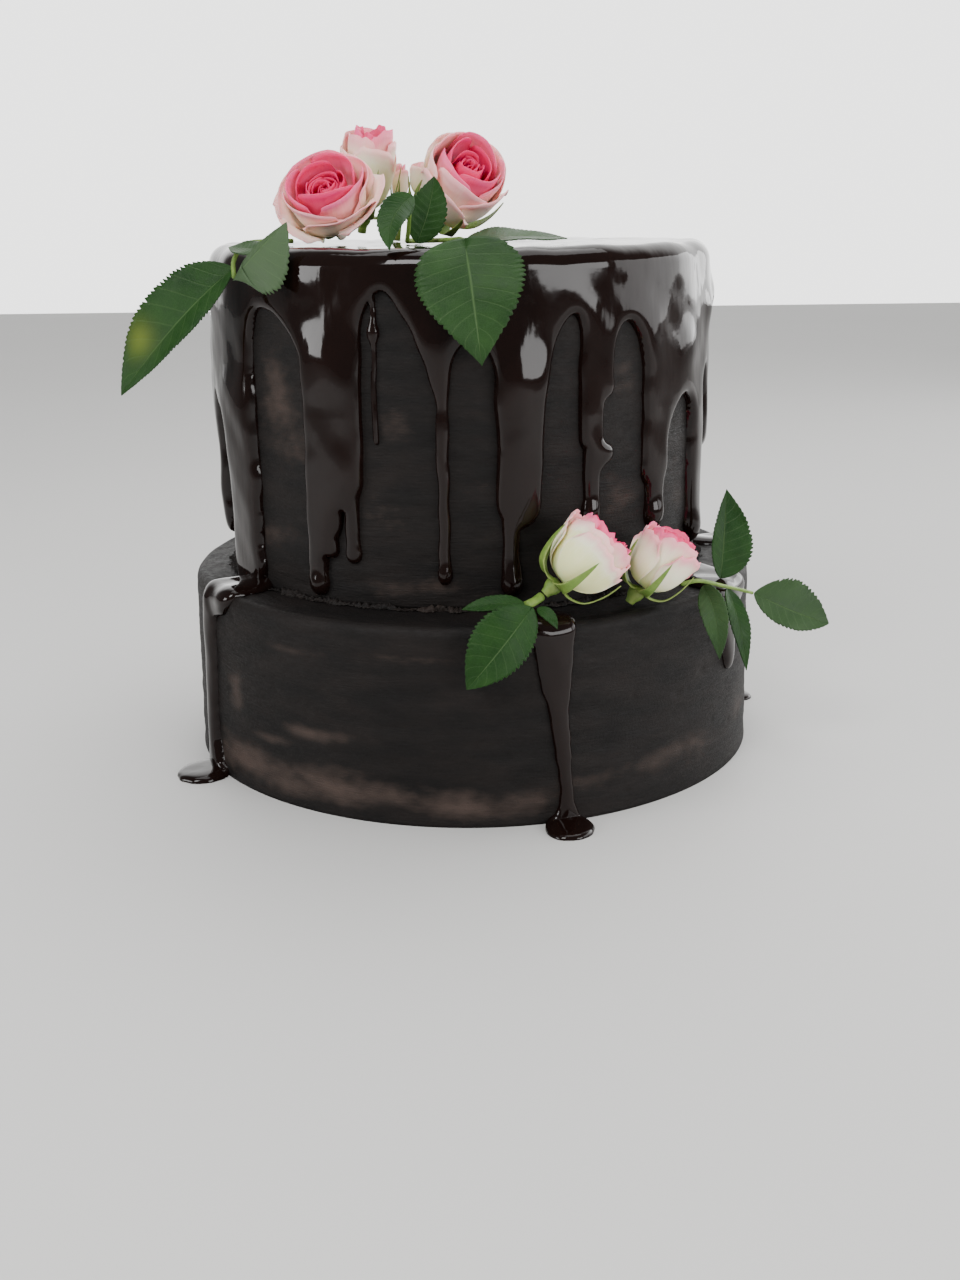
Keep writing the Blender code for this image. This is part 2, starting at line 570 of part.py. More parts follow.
def bloom_rows(radius, length, opening, outer, inner):
    """Rings of a bloom seen at one angle: up the outside, over the outer lip, down and up to its heart.

    outer and inner are the lobe and overlap of the two layers of petals at that angle.
    """
    lip_reach = 0.90 + 0.06 * outer[1] + (0.10 + 0.26 * opening) * outer[0]
    lip_height = 0.78 - 0.16 * opening + (0.14 - 0.05 * opening) * outer[0]
    inner_reach = 0.58 + 0.04 * inner[1] + (0.10 + 0.06 * opening) * inner[0]
    inner_height = 0.86 - 0.04 * opening + 0.12 * inner[0]
    rings = (
        (0.12, 0.0),
        (0.62, 0.06),
        (0.90 + 0.05 * outer[1], 0.28),
        (0.93 + 0.07 * outer[1] + 0.06 * opening * outer[0], 0.56),
        (lip_reach, lip_height),
        (lip_reach - 0.07, lip_height + 0.01),
        (0.72, 0.66 - 0.06 * opening),
        (inner_reach, inner_height),
        (inner_reach - 0.08, inner_height + 0.01),
        (0.44, 0.80),
        (0.36 + 0.05 * inner[1], 0.98),
        (0.24, 0.96),
    )
    return [(reach * radius, height * length) for reach, height in rings]


def bloom_solid(radius, length, opening, turn, outer_count, inner_count):
    """A closed bloom: lobed rings of petals round its axis, with a pole at the foot and one at the heart."""
    sides = BLOOM_SIDES // outer_count * outer_count
    points = [(0.0, 0.0, 0.0)]
    columns = []
    for side in range(sides):
        angle = 360.0 * side / sides
        outer = (lobe(angle, turn, outer_count), overlap(angle, turn, outer_count))
        inner = (lobe(angle, turn + INNER_TURN, inner_count), overlap(angle, turn + INNER_TURN, inner_count))
        columns.append((math.radians(angle), bloom_rows(radius, length, opening, outer, inner)))
    rings = len(columns[0][1])
    for ring in range(rings):
        for turned, rows in columns:
            reach, height = rows[ring]
            points.append((reach * math.cos(turned), reach * math.sin(turned), height))
    points.append((0.0, 0.0, HEART_HEIGHT * length))
    return points, ring_faces(sides, rings, len(points) - 1)


def ring_faces(sides, rings, last):
    """Faces of a closed body of stacked rings between a first point and a last one."""
    faces = []
    for side in range(sides):
        after = (side + 1) % sides
        faces.append((0, 1 + after, 1 + side))
        faces.append((last, 1 + (rings - 1) * sides + side, 1 + (rings - 1) * sides + after))
        for ring in range(rings - 1):
            low = 1 + ring * sides
            faces.append((low + side, low + after, low + after + sides, low + side + sides))
    return faces


def bud_solid(radius, length):
    """A closed bud: an egg of overlapping petals with a soft point."""
    points = [(0.0, 0.0, 0.0)]
    for reach, height in BUD_PROFILE:
        for side in range(BUD_SIDES):
            place = 2.0 * math.pi * (side + height) / BUD_SIDES
            bulge = reach * (1.0 - BUD_BULGE + BUD_BULGE * math.cos(BUD_PETALS * place)) * radius
            points.append((bulge * math.cos(place), bulge * math.sin(place), height * length))
    points.append((0.0, 0.0, length))
    return points, ring_faces(BUD_SIDES, len(BUD_PROFILE), len(points) - 1)


def sepal_reach(reach, share):
    return SEPAL_FOOT + (reach - SEPAL_FOOT) * share


def calyx_sheet(radius, length, lift, sepals, share):
    """One face of a calyx: a ring of points, then each sepal's two rows of three and its tip.

    share is how much of their full length the sepals have; short ones bend away from the bloom.
    """
    points = []
    step = 2.0 * math.pi / sepals
    for index in range(sepals):
        for turn in (index * step, (index + 0.5) * step):
            points.append((SEPAL_FOOT * radius, turn, -SEPAL_DROP))
    for index in range(sepals):
        middle = (index + 0.5) * step
        for reach, height, half in SEPAL_ROWS:
            for across in (-1.0, 0.0, 1.0):
                points.append((sepal_reach(reach, share) * radius, middle + across * half,
                               height * share ** 3 * length - SEPAL_CURL * abs(across)))
        reach, height = SEPAL_TIP
        points.append((sepal_reach(reach, share) * radius, middle, height * share ** 3 * length))
    return [((reach + lift) * math.cos(turn), (reach + lift) * math.sin(turn), height - lift)
            for reach, turn, height in points]


def calyx_solid(radius, length, stem, sepals, share):
    """A closed calyx: pointed sepals under the bloom, the hip below them and a length of stem."""
    inner = calyx_sheet(radius, length, 0.0, sepals, share)
    outer = calyx_sheet(radius, length, SEPAL_THICKNESS, sepals, share)
    count = len(inner)
    ring = 2 * sepals
    points = inner + outer
    faces = []
    for index in range(sepals):
        left = 2 * index
        base = (left, left + 1, (left + 2) % ring)
        first = ring + 7 * index
        low = (first, first + 1, first + 2)
        high = (first + 3, first + 4, first + 5)
        tip = first + 6
        sheet = []
        for here, above in ((base, low), (low, high)):
            for side in (0, 1):
                sheet.append((here[side], here[side + 1], above[side + 1]))
                sheet.append((here[side], above[side + 1], above[side]))
        sheet += [(high[0], high[1], tip), (high[1], high[2], tip)]
        faces += sheet
        faces += [tuple(count + corner for corner in reversed(face)) for face in sheet]
        border = (base[0], low[0], high[0], tip, high[2], low[2], base[2])
        for here, after in zip(border, border[1:]):
            faces += [(here, after, count + after), (here, count + after, count + here)]
    centre = len(points)
    points.append((0.0, 0.0, -SEPAL_DROP))
    below = count
    for reach, depth in HIP_ROWS + ((STEM_RADIUS, HIP_ROWS[-1][1] + stem),):
        start = len(points)
        for side in range(ring):
            turn = math.pi * side / sepals
            points.append((reach * math.cos(turn), reach * math.sin(turn), -SEPAL_DROP - depth))
        for side in range(ring):
            after = (side + 1) % ring
            faces.append((below + side, below + after, start + after, start + side))
        below = start
    faces += [(centre, (side + 1) % ring, side) for side in range(ring)]
    faces.append(tuple(below + side for side in range(ring)))
    return points, faces


def bloom_frame(middle, direction, length):
    """Frame at the foot of a bloom, whose middle lies half its length along its axis."""
    foot = Vector(middle) * MM - Vector(direction).normalized() * 0.5 * length
    return Matrix.Translation(foot) @ facing(direction)


def build_blooms(petals, sepals):
    for name, shape in BLOOMS.items():
        middle, direction, radius, length, opening, turn, outer_count, inner_count, stem = shape
        frame = bloom_frame(middle, direction, length * MM)
        is_bud = inner_count == 0
        if is_bud:
            solid = bud_solid(radius * MM, length * MM)
        else:
            solid = bloom_solid(radius * MM, length * MM, opening, turn, outer_count, inner_count)
        add_mesh(name, *solid, petals).matrix_world = frame
        sepal_share = 1.0 - SEPAL_SHORTENING * max(0.0, 2.0 * opening - 1.0)
        sepal_count = BUD_SEPALS if is_bud else ROSE_SEPALS
        calyx = calyx_solid(radius * MM, length * MM, stem * MM, sepal_count, sepal_share)
        calyx_name = name.replace("rose", "calyx").replace("bud", "calyx_bud")
        add_mesh(calyx_name, *calyx, sepals).matrix_world = frame


def leaf_width(share, widest):
    """Share of the half width along a leaf: a rounded foot, widest before the middle, a drawn-out tip."""
    foot = (share / widest) ** (LEAF_SHARPNESS * widest)
    return foot * ((1.0 - share) / (1.0 - widest)) ** (LEAF_SHARPNESS * (1.0 - widest))


def add_leaf(name, shape, material):
    """A thin, folded, slightly wavy blade along a bent midrib."""
    base, pull, tip, halves, face, fold, lobe_length, widest = shape
    top = []
    bottom = []
    for index, share in enumerate(LEAF_STATIONS):
        here = bezier((base, pull, tip), share) * MM
        ahead = bezier((base, pull, tip), min(1.0, share + LEAF_LOOK)) * MM
        behind = bezier((base, pull, tip), max(0.0, share - LEAF_LOOK)) * MM
        along = (ahead - behind).normalized()
        side = along.cross(Vector(face)).normalized()
        up = side.cross(along).normalized()
        ends = index in (0, len(LEAF_STATIONS) - 1)
        for across in (0.0,) if ends else LEAF_ACROSS:
            half = halves[0 if across > 0.0 else 1] * MM
            reach = across * half * (0.0 if ends else leaf_width(share, widest))
            wave = half * LEAF_WAVE * math.sin(LEAF_WAVE_ALONG * share + LEAF_WAVE_ACROSS * across) * abs(across)
            back = lobe_length * MM * abs(across) ** LEAF_LOBE_WIDTH * (1.0 - share) ** LEAF_LOBE_END
            point = here + side * reach - along * back + up * (abs(reach) * fold + wave)
            top.append(point + up * 0.5 * LEAF_THICKNESS)
            bottom.append(point - up * 0.5 * LEAF_THICKNESS)
    return add_mesh(name, top + bottom, leaf_faces(len(top)), material)


def leaf_faces(count):
    """Faces of a blade with a point at each end and rows of five between; both sides split alike."""
    rows = (count - 2) // 5
    last = count - 1
    upper = []
    for column in range(4):
        upper.append((0, 1 + column, 2 + column))
        tail = 1 + 5 * (rows - 1) + column
        upper.append((tail, last, tail + 1))
    for row in range(rows - 1):
        for column in range(4):
            a = 1 + 5 * row + column
            upper += [(a, a + 5, a + 6), (a, a + 6, a + 1)]
    lower = [tuple(count + index for index in reversed(face)) for face in upper]
    left = [0] + [1 + 5 * row for row in range(rows)] + [last]
    right = [0] + [5 + 5 * row for row in range(rows)] + [last]
    border = left + right[-2:0:-1]
    strip = []
    for here, after in zip(border, border[1:] + border[:1]):
        strip += [(here, after, count + after), (here, count + after, count + here)]
    return upper + lower + strip


def tube_solid(path, radii, sides):
    """A closed round tube along a path of points."""
    points = []
    for index, here in enumerate(path):
        ahead = path[min(index + 1, len(path) - 1)]
        behind = path[max(index - 1, 0)]
        along = (ahead - behind).normalized()
        first = along.cross(TUBE_REFERENCE).normalized()
        second = along.cross(first)
        for side in range(sides):
            angle = 2.0 * math.pi * side / sides
            points.append(here + radii[index] * (math.cos(angle) * first + math.sin(angle) * second))
    faces = [tuple(range(sides)), tuple(reversed(range(len(points) - sides, len(points))))]
    for row in range(len(path) - 1):
        for side in range(sides):
            after = (side + 1) % sides
            low = row * sides
            faces.append((low + side, low + side + sides, low + after + sides, low + after))
    return points, faces


def build_stalks(material):
    for name, path in STALKS.items():
        points = [Vector(point) * MM for point in path]
        add_mesh(name, *tube_solid(points, [STALK_RADIUS] * len(points), STALK_SIDES), material)


def main():
    clear_scene()
    icing = make_material("icing", *ICING)
    glaze = make_material("glaze", *GLAZE)
    petals = make_material("petals", *PETALS)
    leaves = make_material("leaves", *LEAF_GREEN)
    sepals = make_material("sepals", *SEPAL_GREEN)
    build_tiers(icing)
    build_glaze(glaze)
    for name, stations in RUNS.items():
        add_run(name, stations, glaze)
    build_blooms(petals, sepals)
    for name, shape in LEAVES.items():
        add_leaf(name, shape, leaves)
    build_stalks(sepals)


main()
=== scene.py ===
"""Looks of a two-tier chocolate cake with a poured drip glaze and fresh garden roses.

Metres, +Z up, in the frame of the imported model. Angles on the tiers are in degrees from the front (-Y),
positive towards +X. Lengths in the tables are in millimetres.
"""

import math
from collections import namedtuple

import bpy
import numpy as np
from mathutils import Matrix, Vector
from mathutils.kdtree import KDTree


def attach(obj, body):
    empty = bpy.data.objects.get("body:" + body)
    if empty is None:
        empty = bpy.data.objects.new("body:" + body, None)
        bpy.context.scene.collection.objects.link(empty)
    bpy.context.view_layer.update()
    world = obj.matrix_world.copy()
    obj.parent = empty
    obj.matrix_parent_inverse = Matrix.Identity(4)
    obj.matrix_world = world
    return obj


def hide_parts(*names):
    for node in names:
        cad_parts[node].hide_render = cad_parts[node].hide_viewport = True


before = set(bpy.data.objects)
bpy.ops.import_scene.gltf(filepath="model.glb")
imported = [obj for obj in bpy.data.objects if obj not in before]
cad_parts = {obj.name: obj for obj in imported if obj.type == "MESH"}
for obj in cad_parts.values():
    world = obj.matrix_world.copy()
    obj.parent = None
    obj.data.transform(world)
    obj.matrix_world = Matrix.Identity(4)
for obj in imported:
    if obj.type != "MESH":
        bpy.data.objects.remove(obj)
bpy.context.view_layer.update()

MM = 0.001

# Seeds of the random draws, so that every run gives the same cake.
SEEDS = {"seam_smear": 5, "blooms": 7, "glaze_edge": 11, "glaze_streaks": 21, "glaze_top": 31,
         "icing_lower": 41, "icing_upper": 43, "ledge": 71, "seam_reach": 81, "seam_crumbs": 82,
         "seam_height": 83, "seam_jitter": 90, "runs": 200, "leaves": 300}

# The two tiers, with the sizes of their solids.
LOWER_CENTRE = np.array((0.0, 0.0))
LOWER_RADIUS = 126.2
LOWER_TAPER = 1.7
LOWER_HEIGHT = 80.5
LOWER_EDGE = 4.0
UPPER_CENTRE = np.array((-3.0, 6.0))
UPPER_RADIUS = 104.8
UPPER_EDGE = 3.0
UPPER_BASE = 80.8
UPPER_TOP = UPPER_BASE + 134.0
UNEVENNESS = 0.5
UNEVEN_WAVES = ((2.0, 0.6, 1.0), (5.0, 0.4, 2.0))
LOWER_PHASE = 0.7
UPPER_PHASE = 2.3

# All waves below are given as strength, most of them round a tier, length up it and how many are summed.

# Relief of the icing: spacing of its mesh, depth of the hand smoothing, its mean and its waves, extra depth
# below a smear, the deepest relief, and the height over which it begins above the floor.
ICING_STEP = 1.35
SMOOTHING_DEPTH = 0.35
SMOOTHING_MEAN = 0.5
SMOOTHING_WAVES = ((0.35, 9, 16.0, 16), (0.21, 40, 6.0, 16), (0.22, 24, 2.6, 16))
SMEAR_DEPTH = 0.25
RELIEF_LIMIT = 1.2
FOOT_FADE = 2.0

# Pits: how many, how deep, the heights between which they lie on each tier, and the ranges of their size,
# length over size and strength.
PIT_COUNT = 150
PIT_DEPTH = 0.7
LOWER_PITS = (3.0, 76.0)
UPPER_PITS = (84.0, 196.0)
PIT_SIZES = (0.6, 1.8)
PIT_STRETCHES = (1.0, 3.0)
PIT_STRENGTHS = (0.2, 1.0)

# Rim and ledge of the lower tier: tilts of the rows over the rim, width of the ledge's mesh, how far the
# ledge is scraped down, and the marks along it.
RIM_TILTS = np.radians((15.0, 30.0, 45.0, 60.0, 75.0, 90.0))
LEDGE_WIDTH = 40.0
LEDGE_DROP = 0.3
LEDGE_STRETCH = 3.0
LEDGE_WAVES = ((0.18, 60, 9.0, 16),)

# Torn seam between the tiers: points round it, how far it reaches out and up, with their waves and limits,
# its jagged edge, the height whose smears show on it and how pale they make it, and its profile: shares of
# its reach (or, where negative, millimetres into the wall) and of its height.
SEAM_COUNT = 1440
SEAM_REACH = 1.5
SEAM_RAGGED = ((1.0, 70, 1.0, 40),)
SEAM_CRUMBS = ((0.9, 420, 1.0, 60),)
SEAM_REACH_LIMITS = (0.4, 3.6)
SEAM_HEIGHT = 1.2
SEAM_HEIGHT_WAVES = ((0.8, 60, 1.0, 40), (0.7, 460, 1.0, 60))
SEAM_HEIGHT_LIMITS = (0.3, 3.4)
SEAM_JITTER = ((0.42, 500, 1.0, 60),)
SEAM_SEED_STEP = 10.0
SEAM_SMEAR_LEVEL = 88.0
SEAM_PALENESS = 0.12
SEAM_SMEAR_SHARE = 0.5
SEAM_PROFILE = ((-1.5, 1.0), (0.05, 0.9), (0.35, 1.0), (0.62, 0.72), (0.85, 0.42), (1.0, 0.12), (1.0, -0.15))

# How smears are torn, and the strengths at which their paler icing begins to show and fully shows.
SMEAR_TEARS = ((0.16, 30, 16.0, 16), (0.08, 110, 5.0, 16))
SMEAR_LIMITS = (0.10, 1.15)

# Paler smears of icing: angle, height, spread along, spread up, strength.
LOWER_SMEARS = (
    (-50.0, 12.0, 30.0, 9.0, 1.0), (-28.0, 12.0, 50.0, 8.0, 1.0), (0.0, 9.0, 36.0, 7.0, 0.9),
    (22.0, 16.0, 26.0, 6.0, 0.5), (44.0, 18.0, 34.0, 8.0, 0.7), (68.0, 22.0, 22.0, 9.0, 0.5),
    (-52.0, 42.0, 7.0, 12.0, 0.8), (-30.0, 33.0, 18.0, 3.5, 0.9), (-40.0, 26.0, 16.0, 3.0, 0.7),
    (-35.0, 66.0, 30.0, 3.0, 0.5), (-10.0, 68.0, 30.0, 2.5, 0.5), (150.0, 30.0, 40.0, 10.0, 0.8),
    (200.0, 14.0, 60.0, 8.0, 0.9), (110.0, 50.0, 26.0, 7.0, 0.6), (240.0, 52.0, 30.0, 8.0, 0.7),
)
UPPER_SMEARS = (
    (-44.0, 160.0, 13.8, 27.5, 0.72), (-38.0, 142.0, 16.2, 12.5, 0.58), (-46.0, 104.0, 20.0, 7.5, 0.5),
    (-14.0, 152.0, 11.2, 16.2, 0.43), (-18.0, 118.0, 25.0, 15.0, 0.36), (-8.0, 90.0, 42.5, 6.2, 0.58),
    (22.0, 92.0, 32.5, 7.5, 0.43), (37.0, 172.0, 11.2, 15.0, 0.58), (36.0, 122.0, 11.2, 11.2, 0.65),
    (3.0, 128.0, 12.5, 11.2, 0.36), (60.0, 120.0, 15.0, 20.0, 0.43), (140.0, 140.0, 37.5, 25.0, 0.58),
    (190.0, 120.0, 37.5, 20.0, 0.58), (230.0, 150.0, 32.5, 22.5, 0.5), (165.0, 94.0, 62.5, 7.5, 0.58),
)

# Glaze coat: spacing of its mesh, thickness at the rim and lower down, the height over which it changes, its
# least thickness, how soon its edge rises and how deep that is set in, the rounding of the rim, how far it
# runs in over the top before the rings begin, and the waves of its edge and its thickness.
GLAZE_STEP = 0.85
GLAZE_RIM_THICKNESS = 2.65
GLAZE_BEAD = 4.2
GLAZE_BAND = 60.0
GLAZE_LEAST = 1.2
GLAZE_REACH = 3.6
GLAZE_BURIED = 0.25
GLAZE_RIM = 5.0
GLAZE_OVER_TOP = 16.0
GLAZE_WOBBLE = ((0.45, 40, 26.0, 16),)
GLAZE_STREAKS = ((0.105, 24, 80.0, 16), (0.0245, 44, 34.0, 40))

# Grid of the coat: rows below the foot of the wall, rows in all beyond those needed, and a distance that
# stands for well inside the edge. The rings that close the coat over the top, as shares of its radius, and
# their ripples.
COAT_ROWS_BELOW = 2
COAT_ROWS_SPARE = 16
WELL_INSIDE = 20.0
TOP_RINGS = np.linspace(0.975, 0.025, 39)
TOP_RIPPLES = ((0.22, 18, 26.0, 16),)

# Film solver: its rounds, the least share of a cell that the edge leaves, how far the normals at the edge
# lean outwards, and the angles and spacing of the points that stand for the edge.
FILM_ROUNDS = 500
FILM_LEAST_SHARE = 0.15
FILM_EDGE_LIFT = 0.15
EDGE_ANGLES = np.arange(-200.0, 200.0, 0.05)
EDGE_SPACING = 0.15

# Each drip: left angle, right angle, height of its tip.
DRIPS = (
    (-97.0, -77.5, 137.0), (-88.0, -80.0, 97.0), (-66.5, -52.0, 72.0), (-33.5, -21.0, 118.0),
    (-33.5, -26.4, 106.0), (-35.3, -30.8, 84.0), (-31.5, -28.0, 99.0), (-25.7, -22.3, 98.5),
    (-18.6, -17.4, 145.0), (-5.2, -2.5, 91.0),
    (7.2, 17.0, 112.0), (8.4, 12.4, 86.0), (25.4, 31.0, 140.0), (26.6, 30.4, 112.0), (30.2, 33.4, 161.5),
    (42.9, 51.0, 122.0), (44.5, 50.0, 106.0), (64.5, 72.5, 95.0), (80.0, 92.0, 128.0),
    (104.0, 111.0, 108.0), (124.0, 129.0, 150.0), (142.0, 149.0, 98.0), (162.0, 168.0, 132.0),
    (180.0, 187.0, 90.0), (201.0, 206.0, 142.0), (218.0, 226.0, 104.0), (240.0, 246.0, 126.0),
)
DRIP_ROUNDING = 1.3

# Each arch of bare icing: left, right, angle of its crown, crown, left foot, right foot, right fullness.
ARCHES = (
    (-77.5, -66.5, -72.0, 152.0, 138.0, 138.0, 2.0), (-52.0, -33.5, -47.0, 194.5, 178.0, 158.0, 2.0),
    (-21.0, -5.2, -15.5, 202.0, 180.0, 158.0, 1.35), (-2.5, 7.2, 2.6, 184.0, 162.0, 166.0, 2.0),
    (17.0, 25.4, 24.0, 192.5, 126.0, 184.0, 2.0), (33.4, 42.9, 37.5, 189.0, 172.0, 166.0, 2.0),
    (51.0, 64.5, 59.0, 157.5, 134.0, 142.0, 2.0), (72.5, 80.0, 76.0, 166.0, 150.0, 150.0, 2.0),
    (92.0, 104.0, 98.0, 190.0, 165.0, 160.0, 2.0), (111.0, 124.0, 118.0, 186.0, 160.0, 168.0, 2.0),
    (129.0, 142.0, 135.0, 193.0, 166.0, 162.0, 2.0), (149.0, 162.0, 156.0, 188.0, 160.0, 164.0, 2.0),
    (168.0, 180.0, 174.0, 191.0, 168.0, 160.0, 2.0), (187.0, 201.0, 194.0, 186.0, 158.0, 164.0, 2.0),
    (206.0, 218.0, 212.0, 192.0, 168.0, 160.0, 2.0), (226.0, 240.0, 233.0, 187.0, 160.0, 166.0, 2.0),
    (246.0, 263.0, 255.0, 190.0, 165.0, 165.0, 2.0),
)

# Round ends and bulges of the drips: angle, height, radius.
BULBS = (
    (-33.0, 88.0, 4.0), (-24.0, 101.6, 3.0), (-18.0, 187.0, 2.4), (-3.9, 94.5, 2.7), (10.4, 90.2, 3.9),
    (28.4, 116.5, 3.8), (31.9, 165.0, 3.4), (47.2, 111.0, 4.9), (68.6, 99.5, 6.3), (-84.0, 102.0, 7.6),
    (32.4, 139.5, 3.1), (30.0, 139.0, 4.6),
)
BULB_BLEND = 2.4
BULB_FLATNESS = 0.8
BULB_REACH = 12.0

# Soft lumps where the glaze gathered: angle, height, spread, extra thickness.
GLAZE_LUMPS = (
    (84.0, 196.0, 9.0, 2.2), (92.0, 180.0, 8.0, 1.8), (76.0, 190.0, 7.0, 1.2), (60.0, 176.0, 9.0, 1.0),
    (-60.0, 150.0, 22.0, 1.6), (-88.0, 195.0, 22.0, 2.4), (-88.0, 158.0, 20.0, 2.6),
    (-84.0, 112.0, 12.0, 1.4), (-33.0, 87.0, 5.5, 2.2), (46.5, 111.0, 6.0, 2.0), (10.4, 90.0, 5.5, 1.8),
    (14.0, 142.0, 12.0, 0.9), (28.4, 116.0, 5.0, 1.6), (68.6, 99.0, 7.0, 1.6), (-3.9, 94.0, 4.0, 1.6),
    (-28.0, 176.0, 13.0, 1.4), (12.0, 170.0, 12.0, 1.4),
)

# Runs of glaze over the lower tier: place, where on it, angle, half width, thickness.
RUNS = {
    "glaze_run_left": (
        ("wall_of_upper", 0.0, -58.8, 9.5, 6.5), ("ledge", 110.0, -58.4, 13.0, 3.0),
        ("ledge", 119.0, -58.4, 14.0, 2.6), ("rim", 0.0, -59.4, 10.0, 2.6), ("rim", 45.0, -60.4, 7.6, 2.8),
        ("rim", 90.0, -61.2, 5.6, 3.4), ("wall", 58.0, -61.8, 4.8, 3.6), ("wall", 34.0, -62.0, 4.6, 3.6),
        ("wall", 14.0, -62.0, 4.9, 3.8), ("foot", 0.0, -61.2, 7.6, 3.8), ("floor", 132.5, -60.0, 10.5, 3.4),
        ("floor", 136.0, -59.6, 9.6, 3.0), ("floor", 138.0, -59.4, 6.0, 2.4),
    ),
    "glaze_run_middle": (
        ("ledge", 113.0, 12.0, 7.0, 1.6), ("ledge", 115.5, 12.4, 12.0, 2.4),
        ("ledge", 119.5, 13.2, 12.5, 2.6), ("rim", 0.0, 13.8, 10.8, 2.4), ("rim", 45.0, 14.2, 9.6, 2.5),
        ("rim", 90.0, 14.4, 8.6, 2.6),
        ("wall", 58.0, 14.8, 6.2, 3.0), ("wall", 48.0, 15.4, 4.2, 3.4), ("wall", 26.0, 16.2, 3.2, 3.8),
        ("wall", 10.0, 16.8, 2.8, 3.8), ("foot", 0.0, 16.6, 5.6, 3.4), ("floor", 132.5, 16.2, 9.0, 3.2),
        ("floor", 136.5, 15.8, 8.0, 2.8), ("floor", 138.5, 15.6, 3.6, 2.4),
    ),
    "glaze_run_right": (
        ("wall_of_upper", 0.0, 65.0, 9.0, 5.0), ("ledge", 112.0, 62.0, 15.0, 2.6),
        ("ledge", 119.5, 60.5, 16.0, 2.6), ("rim", 0.0, 59.0, 11.0, 2.6), ("rim", 45.0, 58.0, 9.0, 2.6),
        ("rim", 90.0, 57.4, 7.8, 2.8), ("wall", 58.0, 58.4, 6.0, 3.0), ("wall", 51.0, 58.8, 4.6, 3.2),
        ("wall", 47.0, 59.0, 3.2, 3.2),
    ),
    "glaze_run_back": (
        ("wall_of_upper", 0.0, 98.0, 6.0, 4.0), ("ledge", 113.0, 99.0, 9.0, 2.4),
        ("ledge", 119.5, 99.5, 9.0, 2.4), ("rim", 0.0, 99.8, 7.0, 2.4), ("rim", 45.0, 100.0, 6.0, 2.6),
        ("rim", 90.0, 100.2, 4.8, 2.8), ("wall", 50.0, 100.4, 4.0, 3.2), ("wall", 26.0, 100.6, 3.6, 3.4),
        ("wall", 10.0, 100.8, 3.6, 3.4), ("foot", 0.0, 100.8, 5.0, 3.2), ("floor", 131.5, 100.8, 6.5, 2.8),
        ("floor", 134.0, 100.8, 5.0, 2.4),
    ),
}

# Mesh of the runs: its spacing, how soon its edge rises and how deep that is set in, the margin of its grid,
# rounds of smoothing of its thickness, how far a run begins inside the upper tier's wall, the fillet at the
# lower tier's foot, and the waves of its edge and its thickness.
RUN_STEP = 0.45
RUN_REACH = 3.4
RUN_BURIED = 0.15
RUN_MARGIN = 3.0
RUN_BLUR = 24
RUN_START = 1.0
FOOT_FILLET = 3.0
RUN_EDGE_WAVES = ((0.25, 140, 16.0, 16),)
RUN_THICKNESS_WAVES = ((0.10, 60, 45.0, 16),)

# Blooms: middle, way it faces, radius, length, opening (0 to 1), turn, petals, stem, how pink its heart, its
# outer petals and its rims are, and how ragged its rims are.
Bloom = namedtuple("Bloom", "middle direction radius length opening turn petals stem pinks ragged")
BLOOMS = {
    "rose_top_left": ((-55.0, -45.5, 236.0), (-0.17, -0.68, 0.71), 18.2, 26.0, 1.0, 20.0, 28, 0.5,
                      (1.12, 0.36, 0.12), 0.0),
    "rose_top_back": ((-41.5, -1.0, 248.4), (0.16, -0.2, 0.97), 11.8, 35.0, 0.25, 70.0, 20, 2.0,
                      (0.60, 0.14, 0.34), 0.2),
    "rose_top_right": ((-2.3, -36.0, 241.0), (0.42, -0.68, 0.60), 16.4, 33.0, 0.35, 10.0, 26, 2.0,
                       (1.18, 0.34, 0.14), 0.0),
    "rose_ledge_left": ((44.2, -113.7, 105.8), (0.74, 0.08, 0.66), 15.0, 27.5, 0.15, 40.0, 24, 0.3,
                        (0.80, 0.10, 0.42), 0.45),
    "rose_ledge_right": ((74.6, -94.5, 99.4), (0.58, 0.06, 0.81), 12.8, 26.0, 0.2, 0.0, 22, 0.6,
                         (0.90, 0.22, 0.38), 0.40),
    "bud_top_back": ((-29.0, 12.0, 243.0), (0.1, 0.0, 1.0), 4.2, 16.0, 0.0, 0.0, 5, 9.0,
                     (0.50, 0.30, 0.20), 0.0),
    "bud_top_middle": ((-19.5, -12.0, 244.0), (0.05, -0.1, 1.0), 4.6, 14.0, 0.0, 30.0, 5, 9.0,
                       (0.40, 0.24, 0.20), 0.0),
}

# Layers of a bloom from its heart (0) to its outside (1). Shares of its radius and length: reach of the
# petals' middle, reach of their rims closed and open, height of their rims closed and open, half width
# in degrees, and how far their rims roll out closed and open.
LAYERS = (
    (0.00, 0.12, 0.04, 0.05, 0.88, 0.66, 125.0, 0.00, 0.00),
    (0.48, 0.46, 0.28, 0.42, 0.94, 0.80, 92.0, 0.00, 0.01),
    (0.55, 0.64, 0.50, 0.61, 1.00, 1.00, 86.0, 0.02, 0.05),
    (0.74, 0.82, 0.74, 0.82, 0.97, 0.90, 72.0, 0.04, 0.12),
    (1.00, 0.98, 0.92, 1.06, 0.86, 0.60, 60.0, 0.08, 0.24),
)
PETAL_ACROSS = 17
PETAL_UP = 14
PETAL_THICKNESS = 0.35
GOLDEN_ANGLE = 137.5

# Rim of a petal, in shares of its line: how far and how roundly its corners are cut, how far it waves, the
# point of the outer ones with its width and how far it strays, and how deep a ragged one is torn.
PETAL_ROUNDING = 0.16
PETAL_ROUNDNESS = 2.6
PETAL_WAVE = 0.03
PETAL_POINT = 0.05
PETAL_POINT_WIDTH = 0.22
PETAL_POINT_STRAY = 0.2
PETAL_TEAR = 0.14

